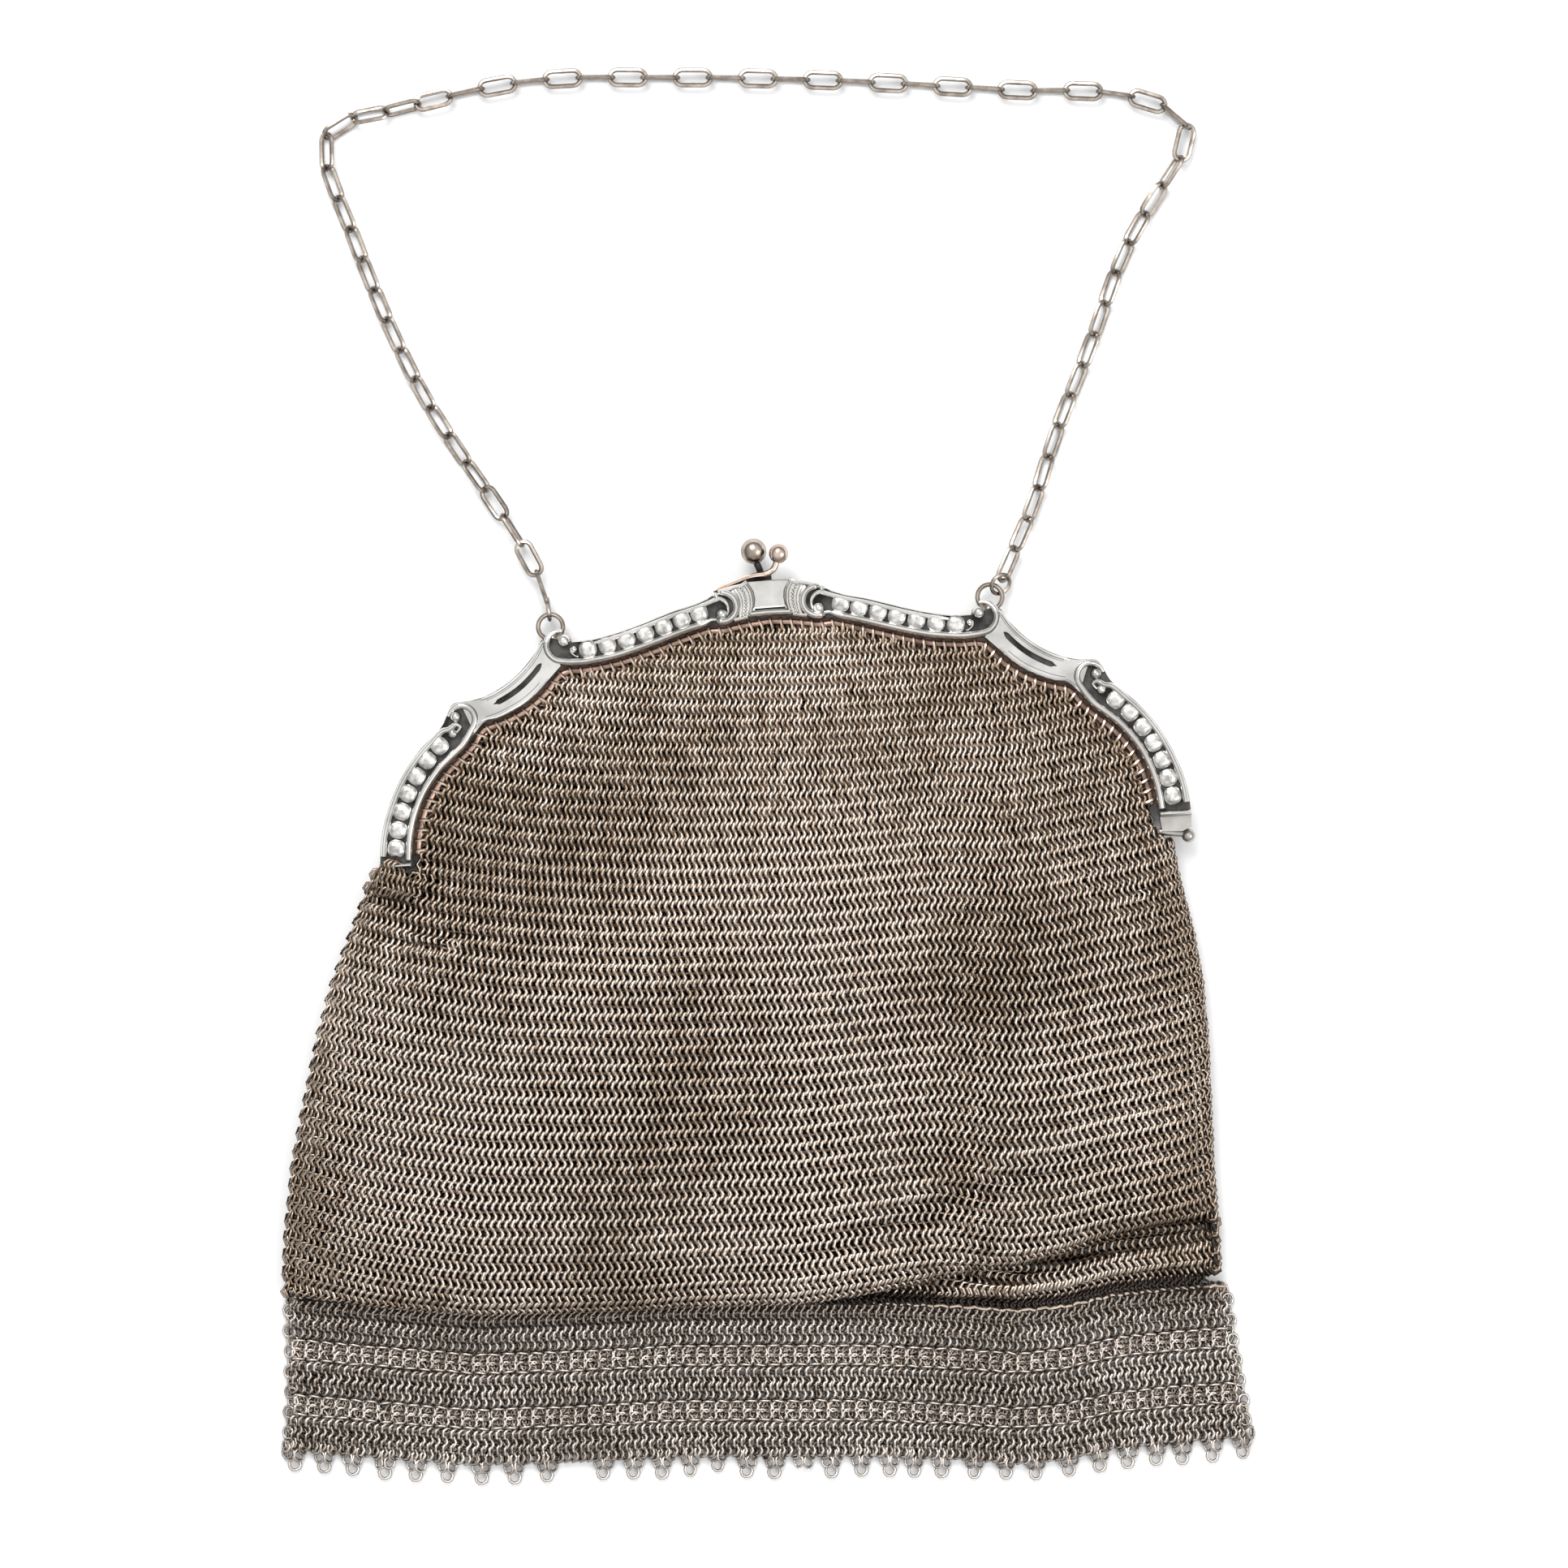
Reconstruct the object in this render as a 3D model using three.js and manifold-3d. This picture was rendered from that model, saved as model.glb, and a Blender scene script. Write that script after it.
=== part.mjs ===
// A metal mesh purse lying on its back: silver frame, ring mail bag, fringe and wrist chain.
// Millimetres. +X runs to the frame's right, +Y from the bag to the chain, +Z up off the surface.
// The origin is the middle of the whole purse's outline, on the surface that it lies on.

import * as THREE from 'three';
import { mergeVertices } from 'three/addons/utils/BufferGeometryUtils.js';
import Module from 'manifold-3d';

const wasm = await Module();
wasm.setup();

// Driving dimensions
const clearance = 0.3;          // gap between two pieces that meet

const frameHalfSpan = 64.8;     // frame, from its middle to the outer edge of an end
const frameRise = 41.9;         // frame, from its ends up to the top of the middle plate
const frameDepth = 8;           // both frame halves together, front to back
const frameTilt = 3.9;          // degrees that the frame leans to the left as it lies
const frameMiddleX = 3.2;       // frame's middle from the origin
const frameEndsY = -10.5;       // height of the frame's ends above the origin
const plateThickness = 2.5;     // body of one frame half, under its relief
const rimWidth = 0.95;          // raised rims along the arms
const beadSize = 2.5;           // one square bead in the arms
const innerBeadCount = 7;
const outerBeadCount = 7;
const volutePlateRadius = 2.85;
const voluteRadius = 2.3;       // middle of the raised scroll line
const voluteBallRadius = 0.95;
const slotWidth = 0.7;          // pierced slot in the plain links
const slotDepth = 0.9;
const flangeWidth = 1.3;        // strip that the mail is laced to
const flangeThickness = 0.6;
const panelHalfWidth = 2.4;     // flat panel of the middle plate at its middle
const polishDepth = 0.2;        // relief worn down from the full depth

const hingePinRadius = 0.55;
const hingePinLength = 5.2;
const hiddenPinLength = 4.4;    // left pin, whose plain end the mail covers
const hingeBallRadius = 1.1;
const hingeDrop = 2.9;          // pin below the frame's ends
const lugWidth = 1.2;
const lugThickness = 2.2;

const frameRingX = 54.3;        // chain ring from the frame's middle, in hundredths of its half span
const frameRingSink = 0.35;     // of its wire sunk in the frame where it is soldered
const frameRingRadius = 2;
const frameRingWire = 0.31;
const jumpRingRadius = 1.68;
const jumpRingWire = 0.26;

const knobRadius = 2.05;        // large ball of the clasp
const knobHeight = 4.8;         // its centre above the middle plate
const catchRadius = 1.55;       // small ball of the clasp
const catchHeight = 4.1;
const claspSpread = 3.95;       // between the two balls
const stemRadius = 0.65;
const springThickness = 0.55;
const springWidth = 2.2;
const springLength = 8.6;       // flat strip from the middle to its seat
const springLift = 0.6;         // strip in front of the gap between the two halves

const linkPitch = 5.17;         // chain, one link to the next
const linkWidth = 3;
const linkWire = 0.31;          // radius of the link's wire
const liftedLinks = 4;          // links between a ring of the frame and the surface
const linkBite = 0.58;          // distance between the wires of two links where they hook

const bagHeight = 68.5;         // left side, from the hem up to the frame's end
const bagHemY = -82;            // left end of the hem from the origin
const bagHemLeft = 78.3;
const bagHemRight = 74;
const bagWall = 1.4;            // thickness of the mail as it lies
const bagCrown = 9.8;           // fullest height of the front off the surface
const bagMouth = 7.3;           // thickness across the mouth
const bagFold = 3.1;            // height of the folded side and hem edges
const mouthRimZ = 0.35;         // back wall of the mouth off the surface
const hemRound = 11;            // length over which the hem rounds off
const backPlateau = 1.06;       // above 1 the back lies flat over its middle

const fringeHeight = 24.1;      // from the hem to the valleys of the points
const fringeThickness = 1.6;
const fringeTuck = 0.7;         // how far the fringe reaches under the hem
const fringeLeft = 77.2;        // its two free sides from the origin
const fringeRightTop = 75.2;
const fringeRightFoot = 78.3;
const pointCount = 33;
const pointHeight = 3.6;
const openworkWidth = 4;        // one opening of the openwork rows
const openworkHeight = 1.3;
const openworkCount = 14;
const openworkRows = [0.33, 0.7];   // how far down the fringe the two rows lie

// Sections of half the frame from its middle to its end: outer and inner edge, in
// hundredths of the half span (x) and of the rise above the ends (y).
const frameSections = [
  { outX: 0, outY: 100, inX: 0, inY: 86.4 },
  { outX: 7.1, outY: 99.3, inX: 7.1, inY: 85.4 },
  { outX: 13.3, outY: 95.9, inX: 12.8, inY: 84.0 },
  { outX: 16.4, outY: 93.6, inX: 15.4, inY: 84.2 },
  { outX: 23.9, outY: 90.6, inX: 22.5, inY: 81.3 },
  { outX: 32.4, outY: 86.4, inX: 31.2, inY: 77.2 },
  { outX: 40.1, outY: 83.2, inX: 39.5, inY: 74.0 },
  { outX: 48.1, outY: 81.6, inX: 47.8, inY: 72.6 },
  { outX: 56.2, outY: 83.4, inX: 52.8, inY: 72.1 },
  { outX: 58.0, outY: 79.0, inX: 55.3, inY: 67.5 },
  { outX: 63.7, outY: 69.7, inX: 60.8, inY: 59.9 },
  { outX: 70.4, outY: 63.7, inX: 68.4, inY: 54.3 },
  { outX: 75.0, outY: 61.8, inX: 73.0, inY: 52.5 },
  { outX: 79.4, outY: 61.0, inX: 74.6, inY: 48.6 },
  { outX: 82.4, outY: 53.0, inX: 77.6, inY: 43.7 },
  { outX: 88.4, outY: 44.2, inX: 83.5, inY: 35.6 },
  { outX: 93.7, outY: 33.4, inX: 88.0, inY: 26.0 },
  { outX: 97.2, outY: 22.0, inX: 90.6, inY: 16.0 },
  { outX: 99.2, outY: 11.7, inX: 91.7, inY: 7.4 },
  { outX: 100, outY: 0, inX: 92.1, inY: 0 },
];
// Rows of the table between which each part of the frame runs, and the middle plate's panel
// and borders in hundredths of the rise
const innerArm = { first: 3, last: 7 };
const plainLink = { first: 9, last: 12 };
const outerArm = { first: 14, last: 19 };
const panelSpan = { low: 91.2, high: 99.2 };
const borderSpan = { low: 87.4, high: 98.4 };
const lowerRailY = 88;

// Scroll lines of half the frame: middle and ball in hundredths of the half span and rise,
// the line's radius and ball as shares of the named ones, its start and sweep in degrees.
const scrolls = [
  { x: 10.6, y: 91.2, size: 1, start: 55, sweep: 260, ballX: 12.4, ballY: 88.9, ball: 0.9 },
  { x: 53.6, y: 79.0, size: 0.95, start: -115, sweep: 235, ballX: 51.9, ballY: 82.0, ball: 1 },
  { x: 77.4, y: 55.2, size: 0.98, start: 215, sweep: -205, ballX: 79.0, ballY: 56.2, ball: 1 },
];

// Outline of the bag's two sides from the hem up, in hundredths: how high the row lies, and
// how far each side has drawn in from its width at the hem to its width at the mouth.
const sideRows = [
  { up: 0, left: 0, right: 0 },
  { up: 5, left: 0, right: 3 },
  { up: 12, left: 2, right: 6 },
  { up: 26, left: 8, right: 15 },
  { up: 42, left: 20, right: 24 },
  { up: 58, left: 36, right: 32 },
  { up: 73, left: 54, right: 44 },
  { up: 87, left: 76, right: 68 },
  { up: 100, left: 100, right: 100 },
];

// The hem across the bag, which the fringe's rows follow: place in hundredths of the half
// width, and its drop below the line between its ends, in hundredths of the fullest height.
const hemRows = [
  { across: -100, drop: 6 },
  { across: -88, drop: 12 },
  { across: -76, drop: 22 },
  { across: -58, drop: 31 },
  { across: -38, drop: 29 },
  { across: -16, drop: 21 },
  { across: 20, drop: 20 },
  { across: 40, drop: 26 },
  { across: 55, drop: 31 },
  { across: 66, drop: 24 },
  { across: 77, drop: 8 },
  { across: 90, drop: -3 },
  { across: 100, drop: -8 },
];

// Soft folds in the bag's front. Ends in hundredths of the half width and of the height,
// width and rise in hundredths of the bag's fullest height; a negative rise is a hollow.
const folds = [
  { fromX: 10, fromUp: 3, toX: 100, toUp: 16, width: 40, rise: -12 },
  { fromX: 20, fromUp: 12, toX: 100, toUp: 25, width: 45, rise: 8 },
  { fromX: -75, fromUp: 11, toX: 5, toUp: 9, width: 60, rise: 9 },
  { fromX: -55, fromUp: 90, toX: -35, toUp: 60, width: 60, rise: -7 },
  { fromX: 45, fromUp: 90, toX: 60, toUp: 50, width: 60, rise: -7 },
  { fromX: -20, fromUp: 88, toX: 0, toUp: 55, width: 80, rise: 5 },
];

// The chain's route on the surface from the left ring over the top to the right ring.
// It only ever has these points, chosen along the chain as it lies.
const chainRoute = [
  [-36.9, 33.2], [-42.4, 42.3], [-49, 51.8], [-54.6, 60.6], [-59.6, 70.6], [-63.4, 79.6],
  [-67.1, 89.2], [-69.9, 96.3], [-70.9, 101.2], [-68.6, 104.4], [-61, 106.3], [-50, 109],
  [-39.9, 111], [-29.5, 111.8], [-19, 111.8], [-8.8, 111.8], [1.4, 111.6], [11.8, 111.3],
  [22.1, 110.8], [32.6, 110.2], [42.9, 109.7], [53, 109.6], [62.8, 107.6], [67.2, 104.6],
  [67.6, 101.4], [64.5, 96.2], [57.6, 84.5], [51.9, 69], [46.2, 54.4], [42.8, 43.6],
];

// Colours and finishes
const silver = new THREE.MeshStandardMaterial({ color: 0xd9d6d0, roughness: 0.28, metalness: 1 });
const backSilver = new THREE.MeshStandardMaterial({ color: 0xc9c5bd, roughness: 0.34, metalness: 1 });
const mail = new THREE.MeshStandardMaterial({ color: 0xa89c8c, roughness: 0.5, metalness: 1 });
const fringeMail = new THREE.MeshStandardMaterial({ color: 0x9f9c95, roughness: 0.5, metalness: 1 });
const chainMetal = new THREE.MeshStandardMaterial({ color: 0xb3ab9f, roughness: 0.38, metalness: 1 });
const copperSteel = new THREE.MeshStandardMaterial({ color: 0xb39c8b, roughness: 0.35, metalness: 1 });

const radians = THREE.MathUtils.degToRad;
const lerp = THREE.MathUtils.lerp;

// Solids from three.js geometry, and back
function solid(geometry) {
  const plain = geometry.index ? geometry.clone() : geometry;
  plain.deleteAttribute('normal');
  plain.deleteAttribute('uv');
  const merged = mergeVertices(plain, 1e-4);
  return new wasm.Manifold(new wasm.Mesh({
    numProp: 3,
    vertProperties: new Float32Array(merged.attributes.position.array),
    triVerts: new Uint32Array(merged.index.array),
  }));
}

function joined(parts) {
  return parts.reduce((whole, part) => whole.add(part));
}

function piece(name, body, material) {
  const mesh = body.getMesh();
  const geometry = new THREE.BufferGeometry();
  geometry.setAttribute('position', new THREE.BufferAttribute(mesh.vertProperties, 3));
  geometry.setIndex(new THREE.BufferAttribute(mesh.triVerts, 1));
  geometry.computeVertexNormals();
  const part = new THREE.Mesh(geometry, material);
  part.name = name;
  return part;
}

// A bar of round section along a line of points, with closed ends
function bar(points, radius, sides, steps) {
  const section = new THREE.Shape();
  for (let k = 0; k < sides; k += 1) {
    const angle = 2 * Math.PI * (k + 0.5) / sides;
    const x = radius * Math.cos(angle);
    const y = radius * Math.sin(angle);
    if (k === 0) section.moveTo(x, y);
    else section.lineTo(x, y);
  }
  section.closePath();
  const path = new THREE.CatmullRomCurve3(points, false, 'centripetal');
  return solid(new THREE.ExtrudeGeometry(section, { steps, extrudePath: path, curveSegments: 1 }));
}

function plate(outline, low, high, holes = []) {
  const shape = new THREE.Shape(outline.map(([x, y]) => new THREE.Vector2(x, y)));
  for (const hole of holes) {
    shape.holes.push(new THREE.Path(hole.map(([x, y]) => new THREE.Vector2(x, y))));
  }
  const geometry = new THREE.ExtrudeGeometry(shape, {
    depth: high - low, bevelEnabled: false, curveSegments: 1,
  });
  geometry.translate(0, 0, low);
  return solid(geometry);
}

// A flat-topped rib of even width along a line of points
function rib(line, width, low, high) {
  const outline = [...insetLine(line, -width / 2), ...insetLine(line, width / 2).reverse()];
  return plate(outline.map(point => [point.x, point.y]), low, high);
}

function insetLine(line, distance) {
  return line.map((point, k) => {
    const before = line[Math.max(0, k - 1)];
    const after = line[Math.min(line.length - 1, k + 1)];
    const along = new THREE.Vector3().subVectors(after, before).normalize();
    return new THREE.Vector3(point.x + along.y * distance, point.y - along.x * distance, 0);
  });
}

function ball(x, y, z, radius, around = 10, up = 6) {
  const geometry = new THREE.SphereGeometry(radius, around, up);
  geometry.rotateX(Math.PI / 2);
  geometry.translate(x, y, z);
  return solid(geometry);
}

function block(lowX, highX, lowY, highY, lowZ, highZ) {
  const geometry = new THREE.BoxGeometry(highX - lowX, highY - lowY, highZ - lowZ);
  geometry.translate((lowX + highX) / 2, (lowY + highY) / 2, (lowZ + highZ) / 2);
  return solid(geometry);
}

// The frame in its own upright frame of reference: x from its middle, y up from its ends
const frameMidZ = frameDepth / 2;
const halfGap = clearance / 2;
const reliefHeight = frameMidZ - halfGap - plateThickness;
const floorZ = frameMidZ + halfGap + plateThickness;
const beadRise = 0.82;          // tops of the beads and of the panel over the channel's floor,
const panelRise = 0.5;          // as shares of the relief
const rootDepth = 0.2;             // relief starts this far inside the body under it
const frameX = share => frameHalfSpan * share / 100;
const frameY = share => frameRise * share / 100;

function edgeCurve(first, last, side) {
  const rows = frameSections.slice(first, last + 1);
  const points = rows.map(row => new THREE.Vector3(
    frameX(row[`${side}X`]), frameY(row[`${side}Y`]), 0));
  return new THREE.CatmullRomCurve3(points, false, 'centripetal');
}

// Points across an arm: across is 0 on the inner edge and 1 on the outer edge
function armPoint(arm, along, across) {
  const outer = edgeCurve(arm.first, arm.last, 'out').getPoint(along);
  const inner = edgeCurve(arm.first, arm.last, 'in').getPoint(along);
  return inner.lerp(outer, across);
}

function flip(x, side) {
  return x * side;
}

function bandOutline(side, firstRow, lastRow, steps) {
  const outer = edgeCurve(firstRow, lastRow, 'out').getPoints(steps);
  const inner = edgeCurve(firstRow, lastRow, 'in').getPoints(steps);
  return [...outer, ...inner.reverse()].map(point => [flip(point.x, side), point.y]);
}

function discOutline(x, y, radius, sides) {
  return Array.from({ length: sides }, (_, k) => {
    const angle = 2 * Math.PI * k / sides;
    return [x + radius * Math.cos(angle), y + radius * Math.sin(angle)];
  });
}

// Plain body of one half of the frame, between two heights
function frameBody(low, high) {
  const parts = [];
  for (const side of [-1, 1]) {
    parts.push(plate(bandOutline(side, 0, 3, 3), low, high));
    for (const arm of [innerArm, plainLink, outerArm]) {
      parts.push(plate(bandOutline(side, arm.first, arm.last, 4), low, high));
    }
    parts.push(plate(bandOutline(side, innerArm.last, plainLink.first, 2), low, high));
    parts.push(plate(bandOutline(side, plainLink.last, outerArm.first, 2), low, high));
    for (const scroll of scrolls) {
      const x = flip(frameX(scroll.x), side);
      parts.push(plate(discOutline(x, frameY(scroll.y), volutePlateRadius, 10), low, high));
    }
  }
  return joined(parts);
}

// Raised rims along both edges of an arm
function armRims(side, arm, low, high) {
  const rims = [];
  for (const across of [0.1, 0.9]) {
    const line = Array.from({ length: 5 }, (_, k) => {
      const point = armPoint(arm, k / 4, across);
      return new THREE.Vector3(flip(point.x, side), point.y, 0);
    });
    rims.push(rib(line, rimWidth, low, high));
  }
  return rims;
}

// Square beads with bevelled tops, set in a row in the channel of an arm
function armBeads(side, arm, count, low, high) {
  const beads = [];
  for (let k = 0; k < count; k += 1) {
    const along = (k + 0.75) / (count + 0.5);
    const here = armPoint(arm, along, 0.5);
    const ahead = armPoint(arm, along + 0.01, 0.5);
    const bead = new THREE.CylinderGeometry(beadSize * 0.42, beadSize * 0.62, high - low, 4, 1);
    bead.rotateX(Math.PI / 2);
    bead.rotateZ(Math.PI / 4 + Math.atan2(ahead.y - here.y, (ahead.x - here.x) * side));
    bead.translate(flip(here.x, side), here.y, (low + high) / 2);
    beads.push(solid(bead));
  }
  return beads;
}

function scrollLine(side, scroll, low, high) {
  const radius = voluteRadius * scroll.size;
  const line = Array.from({ length: 7 }, (_, k) => {
    const angle = radians(scroll.start + scroll.sweep * k / 6);
    const x = frameX(scroll.x) + radius * Math.cos(angle);
    return new THREE.Vector3(flip(x, side), frameY(scroll.y) + radius * Math.sin(angle), 0);
  });
  const knob = discOutline(flip(frameX(scroll.ballX), side), frameY(scroll.ballY),
    voluteBallRadius * scroll.ball, 8);
  return [rib(line, rimWidth, low, high), plate(knob, low, high)];
}

// The plate in the middle: a raised panel between two curved borders over a lower rail
const reliefTop = frameDepth - polishDepth;
const panelTopZ = floorZ + reliefHeight * panelRise;
const panelLow = frameY(panelSpan.low);
const panelHigh = frameY(panelSpan.high);
function middlePlate() {
  const waistY = lerp(panelLow, panelHigh, 0.4);
  const [foot, waist, top] = [0.9, 0.88, 1.3].map(share => panelHalfWidth * share);
  const outline = [
    [-foot, panelLow], [foot, panelLow], [waist, waistY],
    [top, panelHigh], [-top, panelHigh], [-waist, waistY],
  ];
  const parts = [plate(outline, floorZ - rootDepth, panelTopZ)];
  for (const side of [-1, 1]) {
    for (const reach of [1.19, 1.67]) {
      const border = [-1, -0.5, 0, 0.5, 1].map((up) => {
        const x = panelHalfWidth * (reach + 0.31 * up * up);
        const y = lerp(frameY(borderSpan.low), frameY(borderSpan.high), (up + 1) / 2);
        return new THREE.Vector3(flip(x, side), y, 0);
      });
      parts.push(rib(border, rimWidth * 0.75, floorZ - rootDepth, reliefTop));
    }
  }
  const rail = [-1, 1].map(across => new THREE.Vector3(
    across * panelHalfWidth, frameY(lowerRailY), 0));
  parts.push(rib(rail, rimWidth, floorZ - rootDepth, reliefTop));
  return parts;
}

// A pierced slot sunk along each plain link, between these shares of the link's length
const slotFrom = 0.12;
const slotTo = 0.8;
function linkSlot(side) {
  const line = [0, 1, 2, 3, 4].map((step) => {
    const point = armPoint(plainLink, lerp(slotFrom, slotTo, step / 4), 0.56);
    return new THREE.Vector3(flip(point.x, side), point.y, 0);
  });
  return rib(line, slotWidth, floorZ - slotDepth, frameDepth);
}

// The strip under the frame's inner edge that the mail is laced to
function innerLine(steps) {
  const rows = frameSections.map(row => new THREE.Vector3(frameX(row.inX), frameY(row.inY), 0));
  const curve = new THREE.CatmullRomCurve3(rows, false, 'centripetal');
  const half = curve.getSpacedPoints(steps);
  const mirrored = half.slice(1).reverse().map(point => new THREE.Vector3(-point.x, point.y, 0));
  return [...mirrored, ...half];
}

const lacedSteps = 12;
function flange(low, high) {
  const line = innerLine(lacedSteps);
  const outer = insetLine(line, -flangeThickness);
  const inner = insetLine(line, flangeWidth);
  const outline = [...inner, ...outer.reverse()].map(point => [point.x, point.y]);
  return plate(outline, low, high);
}

// Hinge lug at an end of one half, with the bore for the pin
const endX = frameX(frameSections.at(-1).inX);
const lugNear = endX + clearance;
const lugFar = lugNear + lugWidth + clearance;
const lugFoot = hingeDrop + lugThickness / 2;
function hingeLug(side, near, reachLow, reachHigh) {
  const x = [flip(near, side), flip(near + lugWidth, side)].sort((a, b) => a - b);
  const lug = block(x[0], x[1], -lugFoot, -clearance, frameMidZ - lugThickness / 2,
    frameMidZ + lugThickness / 2);
  const neck = block(x[0], x[1], -clearance * 1.5, clearance * 2, reachLow, reachHigh);
  return lug.add(neck).subtract(hingeBore(side));
}

function hingeBore(side) {
  const radius = hingePinRadius + clearance;
  const bore = new THREE.CylinderGeometry(radius, radius, 6 * lugWidth, 8);
  bore.rotateZ(Math.PI / 2);
  bore.translate(flip(lugFar, side), -hingeDrop, frameMidZ);
  return solid(bore);
}

// The pin through both lugs, turned with a round end where it shows
function hingePin(side, length, ballRadius) {
  const profile = [[0, 0], [hingePinRadius, 0], [hingePinRadius, length - ballRadius * 0.9]];
  for (let k = 1; k < 5; k += 1) {
    const angle = Math.PI * (0.2 + 0.8 * k / 5);
    profile.push([ballRadius * Math.sin(angle), length - ballRadius * Math.cos(angle)]);
  }
  profile.push([0, length + ballRadius]);
  const turned = new THREE.LatheGeometry(profile.map(([r, y]) => new THREE.Vector2(r, y)), 8);
  turned.rotateZ(-Math.PI / 2 * side);
  turned.translate(flip(lugNear - lugWidth, side), -hingeDrop, frameMidZ);
  return solid(turned);
}

// Rings soldered on top of the back half, that hold the chain
const ringRow = frameSections[8];
const ringsY = frameY(ringRow.outY) + frameRingRadius - frameRingSink + frameRingWire;
const backZ = frameMidZ - halfGap - plateThickness * 0.5;
function frameRing(side) {
  const ring = new THREE.TorusGeometry(frameRingRadius, frameRingWire, 5, 10);
  ring.translate(flip(frameX(frameRingX), side), ringsY, backZ);
  return solid(ring);
}

// Front half of the frame, one casting with its relief
function frameFront() {
  const low = frameMidZ + halfGap;
  const foot = floorZ - rootDepth;
  const parts = [frameBody(low, floorZ), ...middlePlate()];
  for (const side of [-1, 1]) {
    for (const arm of [innerArm, outerArm]) parts.push(...armRims(side, arm, foot, reliefTop));
    const beadTop = floorZ + reliefHeight * beadRise;
    parts.push(...armBeads(side, innerArm, innerBeadCount, foot, beadTop));
    parts.push(...armBeads(side, outerArm, outerBeadCount, foot, beadTop));
    for (const scroll of scrolls) parts.push(...scrollLine(side, scroll, foot, reliefTop));
    parts.push(hingeLug(side, lugNear, low, frameMidZ + lugThickness / 2));
  }
  let body = joined(parts);
  for (const side of [-1, 1]) body = body.subtract(linkSlot(side));
  const flangeZ = low + plateThickness * 0.25;
  return body.add(flange(flangeZ, flangeZ + flangeThickness));
}

// Back half, the same outline with plain rims, the chain's rings and the large ball
const knobX = -claspSpread / 2;
const knobY = frameRise + knobHeight;
const knobZ = (backZ + frameMidZ) / 2 + frameDepth * 0.11;
function frameBack() {
  const high = frameMidZ - halfGap;
  const low = high - plateThickness;
  const parts = [frameBody(low, high)];
  for (const side of [-1, 1]) {
    parts.push(hingeLug(side, lugFar, frameMidZ - lugThickness / 2, high));
    parts.push(frameRing(side));
  }
  const flangeHigh = high - plateThickness * 0.25;
  parts.push(flange(flangeHigh - flangeThickness, flangeHigh));
  const stem = [
    new THREE.Vector3(knobX * 0.45, frameRise - 1, backZ),
    new THREE.Vector3(knobX * 0.5, frameRise + knobHeight * 0.25, backZ),
    new THREE.Vector3(knobX, knobY, knobZ),
  ];
  parts.push(bar(stem, stemRadius, 6, 4), ball(knobX, knobY, knobZ, knobRadius, 12, 7));
  return joined(parts);
}

// The clasp's small ball on its flat spring strip, which lies along the top of the front half
function claspSpring() {
  const x = claspSpread / 2;
  const y = frameRise + catchHeight;
  const top = frameRise + clearance + springThickness / 2;
  const seatY = frameY(frameSections[2].outY) + clearance + springThickness / 2;
  const line = [
    [-springLength, seatY + 0.35], [-springLength * 0.62, lerp(seatY, top, 0.62) + 0.75],
    [-springLength * 0.25, top + 0.85], [0, top + 1.05], [x * 0.62, top + 1.75], [x, y - 0.6],
  ];
  const curve = new THREE.CatmullRomCurve3(line.map(([px, py]) => new THREE.Vector3(px, py, 0)),
    false, 'centripetal');
  const points = curve.getSpacedPoints(9);
  const left = insetLine(points, -springThickness / 2).map(point => [point.x, point.y]);
  const right = insetLine(points, springThickness / 2).map(point => [point.x, point.y]);
  const low = frameMidZ + halfGap + springLift;
  const strip = plate([...right, ...left.reverse()], low, low + springWidth);
  return strip.add(ball(x, y, low + springWidth / 2, catchRadius, 10, 6));
}

// Places on the frame, seen from the purse's own origin
const frameTurn = radians(frameTilt);
function onPurse(x, y) {
  return [
    frameMiddleX + x * Math.cos(frameTurn) - y * Math.sin(frameTurn),
    frameEndsY + x * Math.sin(frameTurn) + y * Math.cos(frameTurn),
  ];
}

// The mouth of the bag: the line under the flange, closed down beside the two hinges. The left
// corner covers its hinge, and the right one passes below its own.
const mouthInset = flangeWidth + clearance;
function mouthLine() {
  const line = insetLine(innerLine(lacedSteps), mouthInset).filter(point => point.y > 1);
  const left = new THREE.Vector3(-frameHalfSpan - clearance * 3, -clearance * 3, 0);
  const leftInner = new THREE.Vector3(-endX + mouthInset + clearance, -clearance * 6, 0);
  const rightInner = new THREE.Vector3(endX - mouthInset, -clearance, 0);
  const rightBelow = new THREE.Vector3(endX - clearance * 3, -lugFoot - clearance * 3, 0);
  const right = new THREE.Vector3(lugFar, -lugFoot - lugThickness, 0);
  const points = [left, leftInner, ...line, rightInner, rightBelow, right].map(point => {
    const [x, y] = onPurse(point.x, point.y);
    return new THREE.Vector3(x, y, 0);
  });
  return new THREE.CatmullRomCurve3(points, false, 'centripetal');
}

function tableAt(rows, key, value, column) {
  for (let k = 1; k < rows.length; k += 1) {
    if (value <= rows[k][key]) {
      const share = (value - rows[k - 1][key]) / (rows[k][key] - rows[k - 1][key]);
      return lerp(rows[k - 1][column], rows[k][column], share);
    }
  }
  return rows.at(-1)[column];
}

// A place on the bag: across runs from -1 to 1, up from 0 at the hem to 1 at the mouth
const mouth = mouthLine();
function hemPoint(across) {
  const x = lerp(-bagHemLeft, bagHemRight, (across + 1) / 2);
  return [x, hemY(across)];
}

function hemY(across) {
  return bagHemY - tableAt(hemRows, 'across', across * 100, 'drop') * bagCrown / 100;
}

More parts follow.
